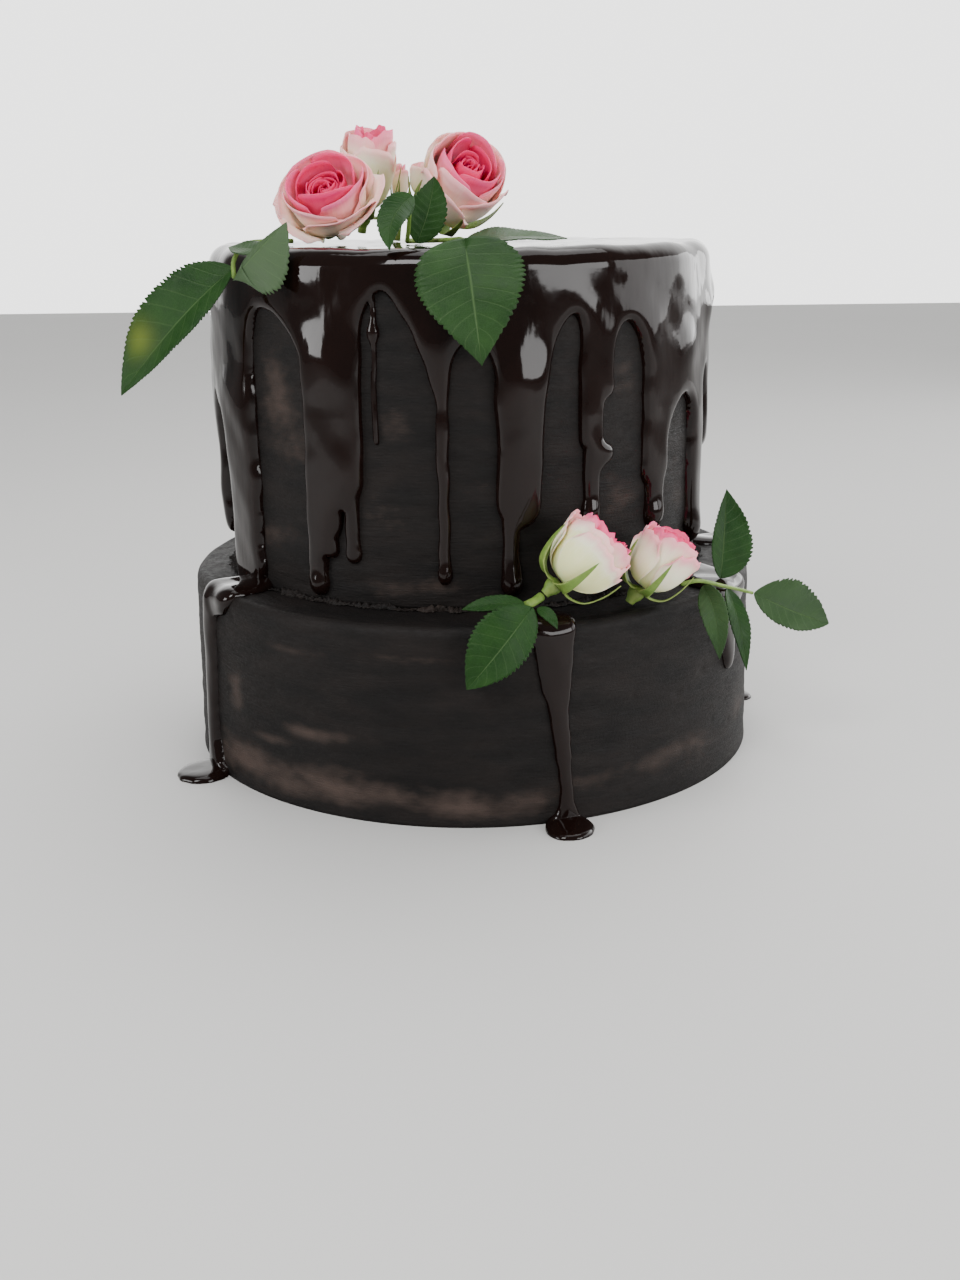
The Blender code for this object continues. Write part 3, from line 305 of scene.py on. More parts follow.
# Blade of a petal: where up it its edge begins and how far its sides count as edge, how far it lies over the
# next one, how far a rolled edge hangs and sways, its width at the foot, how far its corners are tucked in,
# its ripples, and those of a ragged edge outwards and upwards.
PETAL_EDGE = (0.72, 1.0)
PETAL_SIDE = 0.82
PETAL_LAP = 0.05
PETAL_HANG = 0.55
PETAL_SWAY = 0.03
PETAL_FOOT_WIDTH = 0.42
PETAL_TUCK = 0.25
PETAL_RIPPLE = 0.02
RAGGED_OUT = 0.06
RAGGED_UP = 0.02
PHASES = (0.0, 6.0)

# Petals: how far the angle between two strays, how pink they are at the foot, how pale the foot of an outer
# one, how far their pinks stray, and the layers between which the heart's pink gives way to the outer one.
PETAL_STRAY = 9.0
PETAL_FOOT_PINK = 0.50
PETAL_FOOT_PALENESS = 0.16
PINK_STRAY = 0.05
HEART_ENDS = (0.38, 0.85)

# Sepals follow the solids: reach and height as shares of the bloom's size.
SEPAL_PATH = ((0.12, -0.03), (0.50, -0.05), (0.86, 0.05), (1.05, 0.26), (1.12, 0.44), (1.14, 0.58))
SEPAL_DROP = 0.8
SEPAL_HALF_WIDTH = 0.25
SEPAL_SHORTENING = 0.52
SEPAL_ACROSS = 9
SEPAL_UP = 19
SEPAL_STEP = 0.05
ROSE_SEPALS = 5
BUD_SEPALS = 3

# Hip below the sepals: radius and depth.
HIP = ((1.2, 0.2), (3.0, 1.2), (3.3, 2.8), (2.9, 4.4), (2.0, 5.9), (1.7, 7.0))

# Leaves: base, pull point of the bent midrib and tip (mm), half widths in mm on both sides of the midrib,
# way the blade faces, fold along the midrib, how far the lobes at its foot reach back in mm, and the share
# of its length where it is widest.
LEAVES = {
    "leaf_left_large": (
        (-91.5, -64.0, 209.4), (-116.0, -66.0, 190.5), (-140.4, -60.0, 160.0), (17.5, 8.5),
        (-0.3, -0.85, 0.4), 0.2, 1.0, 0.44),
    "leaf_left_upper": (
        (-90.0, -72.5, 205.6), (-79.5, -83.5, 216.5), (-67.0, -79.5, 227.3), (17.5, 2.0),
        (-0.2, -0.95, 0.25), 0.08, -8.0, 0.42),
    "leaf_left_back": (
        (-78.5, -73.0, 217.0), (-85.0, -69.5, 217.4), (-93.3, -60.0, 217.6), (4.6, 5.0),
        (-0.1, -0.6, 0.8), 0.15, 1.0, 0.4),
    "leaf_middle_up": (
        (-18.9, -67.0, 219.4), (-13.0, -67.0, 232.0), (-12.1, -66.0, 243.4), (7.6, 8.0),
        (0.2, -0.9, 0.35), 0.22, 1.0, 0.4),
    "leaf_middle_down": (
        (-20.5, -84.5, 235.4), (-29.5, -92.5, 228.5), (-27.8, -101.5, 216.4), (6.4, 5.6),
        (-0.2, -0.95, 0.2), 0.22, 1.0, 0.38),
    "leaf_front": (
        (-0.2, -100.5, 216.9), (2.0, -113.0, 203.0), (5.2, -112.5, 175.4), (20.5, 20.5),
        (0.0, -0.97, 0.25), 0.10, 5.0, 0.33),
    "leaf_right": (
        (1.0, -67.0, 219.8), (20.0, -62.0, 221.4), (40.5, -48.0, 219.2), (9.0, 9.0),
        (0.1, -0.25, 1.0), 0.12, 1.0, 0.42),
    "leaf_ledge_small": (
        (19.5, -125.5, 90.0), (8.0, -128.5, 92.0), (-3.8, -127.5, 88.6), (3.9, 3.9),
        (0.0, -0.6, 0.8), 0.2, 0.5, 0.42),
    "leaf_ledge_large": (
        (21.5, -131.0, 88.8), (12.0, -138.5, 77.0), (-2.4, -136.0, 59.8), (13.0, 10.0),
        (-0.1, -0.95, 0.25), 0.2, 2.0, 0.44),
    "leaf_ledge_inner": (
        (24.5, -130.5, 89.6), (29.5, -136.5, 89.4), (31.6, -136.5, 83.2), (2.5, 2.5),
        (0.2, -0.8, 0.5), 0.2, 0.0, 0.4),
    "leaf_spray_up": (
        (103.4, -64.5, 84.2), (105.5, -57.0, 100.0), (106.6, -52.0, 118.9), (12.4, 5.2),
        (0.1, -0.95, 0.15), 0.2, 1.0, 0.38),
    "leaf_spray_out": (
        (119.2, -60.6, 75.2), (134.5, -62.0, 66.8), (151.2, -60.0, 61.6), (8.4, 13.2),
        (0.05, -0.9, 0.45), 0.2, 1.0, 0.45),
    "leaf_spray_front": (
        (92.8, -87.0, 85.4), (96.5, -104.0, 80.0), (97.4, -103.0, 59.6), (5.6, 5.6),
        (-0.3, -0.95, 0.2), 0.2, 1.0, 0.4),
    "leaf_spray_side": (
        (104.2, -78.0, 81.4), (108.0, -91.5, 72.0), (111.0, -89.0, 50.4), (4.8, 4.8),
        (0.4, -0.85, 0.3), 0.2, 1.0, 0.4),
}
LEAF_SHARPNESS = 1.7
LEAF_LOBE_WIDTH = 1.5
LEAF_LOBE_END = 4.0
LEAF_END = 0.985
LEAF_WAVE = 0.05
LEAF_ACROSS = 17
LEAF_TEETH_SPACING = 1.75
LEAF_TOOTH_STEPS = 6
LEAF_TOOTH_DEPTH = 0.10
LEAF_TOOTH_PEAK = 0.8
LEAF_TOOTH_SIZES = (0.45, 1.25)
LEAF_TOOTH_START = 0.2
LEAF_LEAST_TEETH = 8
LEAF_BENDS = (0.6, 1.4)
LEAF_QUILT = 0.16
LEAF_VEINS = 9.0
LEAF_VEIN_SLANT = 1.4
LEAF_THICKNESS = 0.45
LEAF_LOOK = 0.01

# How much of its paler underside each leaf shows, and where one of them has yellowed (share of its length,
# place across it, and their spreads).
LEAF_PALENESS = {"leaf_left_upper": 0.45, "leaf_left_back": 0.25, "leaf_right": 0.12, "leaf_spray_out": 0.2,
                 "leaf_spray_front": 0.15, "leaf_front": 0.06}
LEAF_STAINS = {"leaf_left_large": (0.70, 0.55, 0.09, 0.40)}

# Stalks: radius at the first and last point, then the points along them.
STALKS = {
    "stalk_top_left": (
        0.9, 0.9, (-90.2, -68.4, 206.6), (-90.6, -63.6, 213.0), (-86.4, -59.6, 218.8), (-77.0, -56.0, 219.8),
        (-69.0, -51.0, 219.6)),
    "stalk_top_middle": (
        0.8, 1.0, (-0.3, -98.0, 218.8), (-2.0, -88.0, 220.2), (-6.0, -74.0, 219.8), (-13.0, -62.0, 219.4),
        (-20.0, -54.0, 219.2), (-24.0, -44.0, 219.0)),
    "stalk_top_fork": (
        0.7, 0.9, (-20.8, -83.0, 233.6), (-21.8, -77.0, 225.0), (-22.8, -71.5, 219.3)),
    "stem_ledge_left": (
        1.8, 1.6, (26.6, -116.2, 90.4), (23.6, -119.2, 89.2), (20.6, -122.6, 88.8)),
    "stalk_ledge": (
        0.9, 0.7, (84.0, -84.0, 86.0), (91.5, -82.5, 87.0), (102.4, -74.0, 82.6), (110.0, -66.8, 79.2),
        (117.4, -61.4, 76.0)),
}
TUBE_SIDES = 14
TUBE_STEP = 1.0
TUBE_REFERENCE = (0.13, 0.97, 0.21)

# Camera: where it stands, its downward tilt and roll, and its focal length for a 36 mm sensor.
CAMERA_PLACE = (3.2, -627.4, 229.2)
CAMERA_TILT = 0.2957
CAMERA_ROLL = -0.012
CAMERA_LENS = 39.375
CAMERA_SENSOR = 36.0

# The studio: brightness in front of the cake and behind it, and where one fades into the other, as the
# forward part of the direction less a share of its leftward part.
STUDIO_DIM = 0.22
STUDIO_BRIGHT = 2.8
WALL_FADE = (0.15, 0.62)
WALL_LEAN = 0.6
FLOOR_HALF = 3.0


def smooth_step(value, low, high):
    share = np.clip((value - low) / (high - low), 0.0, 1.0)
    return share * share * (3.0 - 2.0 * share)


def waves(turn, height, most_round, up_length, seed, terms):
    """Smooth seeded unevenness, the same after a whole turn, mostly between -1 and 1. turn is in radians."""
    draw = np.random.default_rng(seed)
    total = np.zeros(np.broadcast(turn, height).shape)
    for _ in range(terms):
        count = draw.integers(1, most_round + 1)
        rise = 2.0 * math.pi * draw.normal() / up_length
        total += np.cos(count * turn + rise * height + draw.uniform(0.0, 2.0 * math.pi))
    return total / math.sqrt(terms)


def layered_waves(turn, height, layers, seed):
    """Waves of several sizes on top of each other, each with a seed of its own."""
    return sum(strength * waves(turn, height, most_round, up_length, seed + number, terms)
               for number, (strength, most_round, up_length, terms) in enumerate(layers))


def uneven(angle, phase):
    """How far a tier strays from round."""
    turn = np.radians(angle)
    return UNEVENNESS * sum(share * np.sin(count * turn + shift * phase)
                            for count, share, shift in UNEVEN_WAVES)


def lower_radius(angle, height):
    return LOWER_RADIUS - LOWER_TAPER * height / LOWER_HEIGHT + uneven(angle, LOWER_PHASE)


def upper_radius(angle):
    return UPPER_RADIUS + uneven(angle, UPPER_PHASE)


def turned_near(angle, middle):
    """The same angle, a whole turn away if need be, within half a turn of the middle."""
    return middle + (angle - middle + 180.0) % 360.0 - 180.0


# Meshes and pieces

def make_piece(name, points, faces, material, nodes=(), normals=None, floats=None, vectors=None):
    """A smooth mesh in millimetres as a piece that rides on the part and stands for its CAD nodes."""
    mesh = bpy.data.meshes.new(name)
    mesh.from_pydata((np.asarray(points) * MM).tolist(), [], faces)
    mesh.shade_smooth()
    if normals is not None:
        mesh.normals_split_custom_set_from_vertices(np.asarray(normals).tolist())
    for key, values in (floats or {}).items():
        flat = np.asarray(values, dtype=np.float32)
        mesh.attributes.new(key, "FLOAT", "POINT").data.foreach_set("value", flat)
    for key, values in (vectors or {}).items():
        flat = np.asarray(values, dtype=np.float32).ravel()
        mesh.attributes.new(key, "FLOAT_VECTOR", "POINT").data.foreach_set("vector", flat)
    mesh.materials.append(material)
    item = bpy.data.objects.new(name, mesh)
    bpy.context.scene.collection.objects.link(item)
    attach(item, "root")
    if nodes:
        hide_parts(*nodes)
    return item


def grid_faces(rows, columns, first=0, closed=False):
    """Faces between rows of points; closed joins the last column to the first."""
    faces = []
    for row in range(rows - 1):
        low = first + row * columns
        for column in range(columns if closed else columns - 1):
            after = (column + 1) % columns
            faces.append((low + column, low + after, low + columns + after, low + columns + column))
    return faces


def around(centre, angle, radius, height):
    """Points at angles from the front, at a distance from a tier's axis and a height."""
    turn = np.radians(angle)
    return np.stack(np.broadcast_arrays(centre[0] + radius * np.sin(turn), centre[1] - radius * np.cos(turn),
                                        height), axis=-1)


# Icing

def smear_field(angle, height, smears, radius, seed):
    """How much of the paler icing shows, 0 to 1, faded out unevenly the way the scraper went."""
    total = np.zeros(np.broadcast(angle, height).shape)
    for middle, level, along, up, strength in smears:
        away = (np.radians(turned_near(angle, middle) - middle) * radius / along) ** 2
        total = np.maximum(total, strength * np.exp(-(away + ((height - level) / up) ** 2) ** 0.75))
    turn = np.radians(angle)
    torn = layered_waves(turn, height, SMEAR_TEARS, seed)
    return smooth_step(total + torn * np.sqrt(total), *SMEAR_LIMITS)


def pits(angle, height, radius, levels, seed):
    """Small holes that air bubbles and the scraper left."""
    draw = np.random.default_rng(seed)
    depth = np.zeros(np.broadcast(angle, height).shape)
    for _ in range(PIT_COUNT):
        middle = draw.uniform(-180.0, 180.0)
        level = draw.uniform(*levels)
        size = draw.uniform(*PIT_SIZES)
        long = size * draw.uniform(*PIT_STRETCHES)
        away = (np.radians(turned_near(angle, middle) - middle) * radius / long) ** 2
        strength = draw.uniform(*PIT_STRENGTHS)
        depth = np.maximum(depth, strength * np.exp(-away - ((height - level) / size) ** 2))
    return PIT_DEPTH * depth


def icing_relief(angle, height, pale, seed):
    """Depth of the icing's surface below the drum's outline, never negative."""
    smoothed = SMOOTHING_MEAN + layered_waves(np.radians(angle), height, SMOOTHING_WAVES, seed)
    return np.clip(SMOOTHING_DEPTH * smoothed + SMEAR_DEPTH * pale, 0.0, RELIEF_LIMIT)


def build_icing(name, centre, rows, radius, smears, levels, material, node):
    """A drum of icing: rows are (distance from the axis at each angle, height, share of the relief)."""
    seed = SEEDS[name]
    count = round(2.0 * math.pi * radius / ICING_STEP)
    angle = np.arange(count) * 360.0 / count
    points = []
    pale = []
    for reach, height, share in rows:
        smear = smear_field(angle, height, smears, radius, seed)
        depth = icing_relief(angle, height, smear, seed) + pits(angle, height, radius, levels, seed)
        across, level = reach(angle, share * depth)
        points.append(around(centre, angle, across, height + level))
        pale.append(smear)
    points = np.concatenate(points)
    faces = grid_faces(len(rows), count, closed=True)
    faces.append(tuple(reversed(range(count))))
    faces.append(tuple(range(len(points) - count, len(points))))
    make_piece(name, points, faces, material, (node,), floats={"pale": np.concatenate(pale)})


def wall_row(height):
    return lambda angle, depth: (lower_radius(angle, height) - depth, 0.0)


def rim_row(tilt):
    inward = LOWER_EDGE * (1.0 - math.cos(tilt))
    return lambda angle, depth: (lower_radius(angle, LOWER_HEIGHT) - inward - depth * math.cos(tilt),
                                 -depth * math.sin(tilt))


def ledge_row(inward):
    return lambda angle, depth: (lower_radius(angle, LOWER_HEIGHT) - inward,
                                 ledge_level(angle, inward) - depth)


def lower_icing_rows():
    """Rows from the foot up the wall, over the rounded rim and in over the ledge."""
    shoulder = LOWER_HEIGHT - LOWER_EDGE
    rows = [(wall_row(height), height, smooth_step(height, 0.0, FOOT_FADE))
            for height in np.linspace(0.0, shoulder, round(shoulder / ICING_STEP))]
    rows += [(rim_row(tilt), shoulder + LOWER_EDGE * math.sin(tilt), 1.0) for tilt in RIM_TILTS]
    rows += [(ledge_row(inward), LOWER_HEIGHT, 1.0)
             for inward in np.arange(LOWER_EDGE + ICING_STEP, LEDGE_WIDTH, ICING_STEP)]
    return rows


def ledge_level(angle, inward):
    """The ledge of the lower tier is rough: scraper marks run along it."""
    marks = layered_waves(np.radians(angle), inward * LEDGE_STRETCH, LEDGE_WAVES, SEEDS["ledge"])
    return marks - LEDGE_DROP


def upper_icing_rows():
    """Rows up the wall, which the glaze hides well before the rim, and a last one below the glaze."""
    rows = [(lambda angle, depth: (upper_radius(angle) - depth, 0.0), height, 1.0)
            for height in np.arange(UPPER_BASE, UPPER_TOP - 2.0 * UPPER_EDGE, ICING_STEP)]
    rows.append((lambda angle, depth: (upper_radius(angle) - UPPER_EDGE, 0.0), UPPER_TOP, 0.0))
    return rows


def build_seam(material):
    """The torn ridge of icing pushed out where the upper tier stands on the ledge."""
    angle = np.arange(SEAM_COUNT) * 360.0 / SEAM_COUNT
    turn = np.radians(angle)
    crumbs = np.maximum(0.0, layered_waves(turn, 0.0, SEAM_CRUMBS, SEEDS["seam_crumbs"]))
    reach = SEAM_REACH + layered_waves(turn, 0.0, SEAM_RAGGED, SEEDS["seam_reach"]) + crumbs
    reach = np.clip(reach, *SEAM_REACH_LIMITS)
    height = SEAM_HEIGHT + layered_waves(turn, 0.0, SEAM_HEIGHT_WAVES, SEEDS["seam_height"])
    height = np.clip(height, *SEAM_HEIGHT_LIMITS)
    wall = upper_radius(angle)
    points = []
    for across, up in SEAM_PROFILE:
        seed = SEEDS["seam_jitter"] + round(SEAM_SEED_STEP * across)
        jitter = layered_waves(turn, 0.0, SEAM_JITTER, seed)
        distance = wall + (across * reach if across > 0.0 else across) + jitter * (across > 0.0)
        level = LOWER_HEIGHT + up * height + 0.5 * jitter * (up > 0.0)
        points.append(around(UPPER_CENTRE, angle, distance, level))
    points = np.concatenate(points)
    faces = [tuple(reversed(face)) for face in grid_faces(len(SEAM_PROFILE), SEAM_COUNT, closed=True)]
    smear = smear_field(np.tile(angle, len(SEAM_PROFILE)), np.full(len(points), SEAM_SMEAR_LEVEL),
                        UPPER_SMEARS, UPPER_RADIUS, SEEDS["seam_smear"])
    make_piece("icing_seam", points, faces, material,
               floats={"pale": SEAM_PALENESS + SEAM_SMEAR_SHARE * smear})


# Glaze

def drip_edge(angle, drip):
    """Height of a drip's round lower edge within its width, and infinity beyond it."""
    left, right, tip = drip
    middle = 0.5 * (left + right)
    half = 0.5 * (right - left)
    across = (turned_near(angle, middle) - middle) / half
    rounding = DRIP_ROUNDING * math.radians(half) * UPPER_RADIUS
    edge = tip + rounding * (1.0 - np.sqrt(np.maximum(0.0, 1.0 - across * across)))
    return np.where(np.abs(across) <= 1.0, edge, np.inf)


def arch_edge(angle, arch):
    """Height of the glaze's edge over an arch of bare icing, and infinity beyond it."""
    left, right, crown, top, left_foot, right_foot, fullness = arch
    place = turned_near(angle, crown)
    on_left = place < crown
    span = np.where(on_left, crown - left, right - crown)
    foot = np.where(on_left, left_foot, right_foot)
    power = np.where(on_left, 2.0, fullness)
    away = np.minimum(1.0, np.abs(place - crown) / span)
    edge = foot + (top - foot) * (1.0 - away ** power) ** (1.0 / power)
    return np.where((place >= left) & (place <= right), edge, np.inf)


def glaze_edge(angle):
    """Height of the glaze's lower edge at each angle."""
    lowest = np.full(np.shape(angle), np.inf)
    for arch in ARCHES:
        lowest = np.minimum(lowest, arch_edge(angle, arch))
    for drip in DRIPS:
        lowest = np.minimum(lowest, drip_edge(angle, drip))
    return lowest


def edge_tree():
    """The glaze's lower edge as closely spaced points of (arc, height), for distances to it."""
    line = np.stack((np.radians(EDGE_ANGLES) * UPPER_RADIUS, glaze_edge(EDGE_ANGLES)), axis=-1)
    steps = np.linalg.norm(np.diff(line, axis=0), axis=1)
    places = []
    for here, after, step in zip(line[:-1], line[1:], steps):
        count = max(1, math.ceil(step / EDGE_SPACING))
        places += [here + (after - here) * share / count for share in range(count)]
    tree = KDTree(len(places))
    for index, (arc, height) in enumerate(places):
        tree.insert((arc, height, 0.0), index)
    tree.balance()
    return tree


def smooth_most(first, second, width):
    """The greater of two fields, blended over a width where they are alike."""
    share = np.clip(0.5 + 0.5 * (second - first) / width, 0.0, 1.0)
    return first * (1.0 - share) + second * share + width * share * (1.0 - share)


def coat_field(arc, height):
    """Signed distance inside the glaze's edge, rounded drip ends included."""
    place = arc + layered_waves(arc / UPPER_RADIUS, height, GLAZE_WOBBLE, SEEDS["glaze_edge"])
    inside = height > glaze_edge(np.degrees(place / UPPER_RADIUS))
    tree = edge_tree()
    distance = np.array([tree.find((a, h, 0.0))[2] for a, h in zip(place.ravel(), height.ravel())])
    field = np.where(inside, 1.0, -1.0) * distance.reshape(height.shape)
    for middle, level, radius in BULBS:
        across = arc - math.radians(middle) * UPPER_RADIUS
        bulb = radius - np.sqrt(across ** 2 + (BULB_FLATNESS * (height - level)) ** 2)
        field = np.where(bulb > -BULB_REACH, smooth_most(field, bulb, BULB_BLEND), field)
    return field


def cut_share(field, beside):
    """Which points inside have a neighbour beyond the edge, and at what share of the way the edge lies."""
    crossing = (field > 0.0) & (beside <= 0.0)
    return crossing, np.clip(field / np.where(crossing, field - beside, 1.0), FILM_LEAST_SHARE, 1.0)


def film(field, spacing, reach):
    """How far a film of liquid has risen to its full thickness, 0 at its edge to 1 well inside.

    It solves the shape of a membrane held down at the edge. The edge lies between grid points, where
    the signed distance is 0, so neighbours outside count with their true distance to it.
    """
    inside = field > 0.0
    pull = (spacing / reach) ** 2
    weight = np.full(field.shape, pull)
    sides = ((1, 0), (-1, 0), (1, 1), (-1, 1))
    open_sides = []
    for step, axis in sides:
        beside = np.roll(field, step, axis)
        crossing, share = cut_share(field, beside)
        weight += np.where(crossing, 1.0 / share, 1.0)
        open_sides.append(inside & (beside > 0.0))
    level = np.zeros(field.shape)
    for _ in range(FILM_ROUNDS):
        total = pull * inside
        for (step, axis), is_open in zip(sides, open_sides):
            total = total + np.roll(level, step, axis) * is_open
        level = total / weight * inside
    return level


def film_slope(field, level, spacing, axis):
    """Slope of the film along one axis, with neighbours beyond the edge continued through it."""
    values = []
    for step in (1, -1):
        crossing, share = cut_share(field, np.roll(field, step, axis))
        values.append(np.where(crossing, -level * (1.0 - share) / share, np.roll(level, step, axis)))
    return (values[1] - values[0]) / (2.0 * spacing)


def film_shape(arc, path, field, full, reach, surface):
    """Over a grid: the bare surface's points and normals, and the film's points and normals."""
    spacing = arc[0, 1] - arc[0, 0]
    level = film(field, spacing, reach)
    share = np.sqrt(np.maximum(0.0, 2.0 * level - level * level))
    bare, along, up, out = surface(arc, path)
    rise_along = np.gradient(full, spacing, axis=1)
    rise_up = np.gradient(full, spacing, axis=0)
    tilt_along = full * (1.0 - level) * film_slope(field, level, spacing, 1) + share ** 2 * rise_along
    tilt_up = full * (1.0 - level) * film_slope(field, level, spacing, 0) + share ** 2 * rise_up
    normals = share[..., None] * out - tilt_along[..., None] * along - tilt_up[..., None] * up
    return bare, out, bare + (share * full)[..., None] * out, normals


def film_mesh(arc, path, field, full, reach, surface, buried):
    """Points, faces and normals of a film over a grid, cut along its edge, and the grid's point numbers.

    arc and path are the grid's coordinates, surface(arc, path) gives the bare surface's points, the
    directions in which arc and path grow, and its normals. The edge is set into the surface by buried.
    """
    bare, out, points, normals = film_shape(arc, path, field, full, reach, surface)
    inside = field > 0.0
    index = np.full(field.shape, -1)
    index[inside] = np.arange(inside.sum())
    all_points = list(points[inside])
    all_normals = list(normals[inside])
    faces = []
    cuts = {}

    def cut(here, there):
        key = (min(here, there), max(here, there))
        if key not in cuts:
            inner, outer = (here, there) if field[here] > 0.0 else (there, here)
            place = field[inner] / (field[inner] - field[outer])
            edge = bare[inner] + (bare[outer] - bare[inner]) * place - buried * out[inner]
            side = normals[inner] - np.dot(normals[inner], out[inner]) * out[inner]
            cuts[key] = len(all_points)
            all_points.append(edge)
            all_normals.append(side + FILM_EDGE_LIFT * out[inner] * np.linalg.norm(side))
        return cuts[key]

    corners_inside = (inside[:-1, :-1], inside[:-1, 1:], inside[1:, 1:], inside[1:, :-1])
    whole = np.logical_and.reduce(corners_inside)
    some = np.logical_or.reduce(corners_inside)
    for row, column in zip(*np.nonzero(whole)):
        faces.append((index[row, column], index[row, column + 1], index[row + 1, column + 1],
                      index[row + 1, column]))
    for row, column in zip(*np.nonzero(some & ~whole)):
        corners = ((row, column), (row, column + 1), (row + 1, column + 1), (row + 1, column))
        face = []
        for here, there in zip(corners, corners[1:] + corners[:1]):
            if field[here] > 0.0:
                face.append(int(index[here]))
            if (field[here] > 0.0) != (field[there] > 0.0):
                face.append(cut(here, there))
        if len(face) > 2:
            faces.append(tuple(face))
    lengths = np.linalg.norm(np.array(all_normals), axis=1, keepdims=True)
    return np.array(all_points), faces, np.array(all_normals) / np.maximum(lengths, 1e-9), index


def upper_surface(arc, path):
    """Bare outline of the upper tier: path runs up the wall, over the rim and in over the top."""
    angle = np.degrees(arc / UPPER_RADIUS)
    radius = upper_radius(angle)
    wall = UPPER_TOP - UPPER_BASE - GLAZE_RIM
    tilt = np.clip((path - wall) / GLAZE_RIM, 0.0, 0.5 * math.pi)
    inward = np.maximum(0.0, path - wall - 0.5 * math.pi * GLAZE_RIM)
    height = UPPER_BASE + np.minimum(path, wall) + GLAZE_RIM * np.sin(tilt)
    reach = radius - GLAZE_RIM * (1.0 - np.cos(tilt)) - inward
    points = around(UPPER_CENTRE, angle, reach, height)
    return points, *directions(angle, tilt)


def directions(angle, tilt):
    """Directions along the turn, along the path (up, then inwards) and out of the surface."""
    turn = np.radians(angle)
    radial = np.stack((np.sin(turn), -np.cos(turn), np.zeros_like(turn)), axis=-1)
    upright = np.zeros_like(radial)
    upright[..., 2] = 1.0
    along = np.stack((np.cos(turn), np.sin(turn), np.zeros_like(turn)), axis=-1)
    cosine = np.cos(tilt)[..., None]
    sine = np.sin(tilt)[..., None]
    return along, cosine * upright - sine * radial, cosine * radial + sine * upright


def coat_thickness(arc, path):
    """Full thickness of the coat: fuller below the rim, with lumps and soft streaks."""
    turn = arc / UPPER_RADIUS
    angle = np.degrees(turn)
    height = UPPER_BASE + path
    lower = np.clip((UPPER_TOP - height) / GLAZE_BAND, 0.0, 1.0)
    full = GLAZE_RIM_THICKNESS + (GLAZE_BEAD - GLAZE_RIM_THICKNESS) * lower
    for middle, level, spread, extra in GLAZE_LUMPS:
        across = np.radians(turned_near(angle, middle) - middle) * UPPER_RADIUS
        full = full + extra * np.exp(-(across ** 2 + (height - level) ** 2) / spread ** 2)
    streaks = layered_waves(turn, height, GLAZE_STREAKS, SEEDS["glaze_streaks"])
    return np.maximum(full * (1.0 + streaks), GLAZE_LEAST)


def build_coat(material):
    """The glaze up the upper tier's wall and over its rim, closed at the back and over the top."""
    columns = round(2.0 * math.pi * UPPER_RADIUS / GLAZE_STEP)
    spacing = 2.0 * math.pi * UPPER_RADIUS / columns
    top = UPPER_TOP - UPPER_BASE - GLAZE_RIM + 0.5 * math.pi * GLAZE_RIM + GLAZE_OVER_TOP
    rows = round(top / spacing)
    arc, path = np.meshgrid((np.arange(columns) - columns // 2) * spacing,
                            (np.arange(rows + COAT_ROWS_SPARE) - COAT_ROWS_BELOW) * spacing)
    wall = path < UPPER_TOP - UPPER_BASE - 2.0 * GLAZE_RIM
    field = np.full(arc.shape, WELL_INSIDE)
    field[wall] = coat_field(arc[wall], UPPER_BASE + path[wall])
    points, faces, normals, index = film_mesh(arc, path, field, coat_thickness(arc, path), GLAZE_REACH,
                                              upper_surface, GLAZE_BURIED)
    last = rows + COAT_ROWS_BELOW - 1
    above = set(index[last + 1:].ravel().tolist())
    faces = [face for face in faces if not above.intersection(face)]
    faces += closing_faces(field, index, last)
    faces, points, normals = add_top(faces, points, normals, index[last])
    used = np.zeros(len(points), dtype=bool)
    used[[corner for face in faces for corner in face]] = True
    renumber = np.cumsum(used) - 1
    faces = [tuple(int(renumber[corner]) for corner in face) for face in faces]
    make_piece("glaze_coat", points[used], faces, material, ("glaze",), normals=normals[used])


def closing_faces(field, index, last):
    """Faces between the grid's last column and its first, where it closes on itself at the back."""
    faces = []
    for row in range(last):
        corners = ((row, -1), (row, 0), (row + 1, 0), (row + 1, -1))
        if all(field[corner] > 0.0 for corner in corners):
            faces.append(tuple(int(index[corner]) for corner in corners))
    return faces


def add_top(faces, points, normals, ring):
    """Closes the coat over the top with rings that shrink to a pole, gently rippled."""
    count = len(ring)
    centre = np.array((*UPPER_CENTRE, 0.0))
    middle_height = UPPER_TOP + GLAZE_RIM_THICKNESS
    turn = np.arange(count) * 2.0 * math.pi / count
    base = points[ring]
    below = list(ring)
    for share in TOP_RINGS:
        fade = (1.0 - share ** 8) * min(1.0, 4.0 * share)
        ripples = fade * layered_waves(turn, UPPER_RADIUS * share, TOP_RIPPLES, SEEDS["glaze_top"])
        new = centre + (base - centre) * share
        new[:, 2] = middle_height + (base[:, 2] - middle_height) * share ** 4 + ripples
        ids = list(range(len(points), len(points) + count))
        points = np.concatenate((points, new))
        normals = np.concatenate((normals, np.tile((0.0, 0.0, 1.0), (count, 1))))
        faces += [(below[side], below[(side + 1) % count], ids[(side + 1) % count], ids[side])
                  for side in range(count)]
        below = ids
    pole = len(points)
    points = np.concatenate((points, [(*UPPER_CENTRE, middle_height)]))
    normals = np.concatenate((normals, [(0.0, 0.0, 1.0)]))
    faces += [(below[side], below[(side + 1) % count], pole) for side in range(count)]
    return faces, points, normals


# Runs over the lower tier

def lower_marks(angle):
    """Where along the lower tier's outline its rim, its wall, the fillet at its foot and the floor begin."""
    rim = lower_radius(angle, LOWER_HEIGHT) - LOWER_EDGE
    wall = rim + 0.5 * math.pi * LOWER_EDGE
    foot = wall + LOWER_HEIGHT - LOWER_EDGE - FOOT_FILLET
    return rim, wall, foot, foot + 0.5 * math.pi * FOOT_FILLET


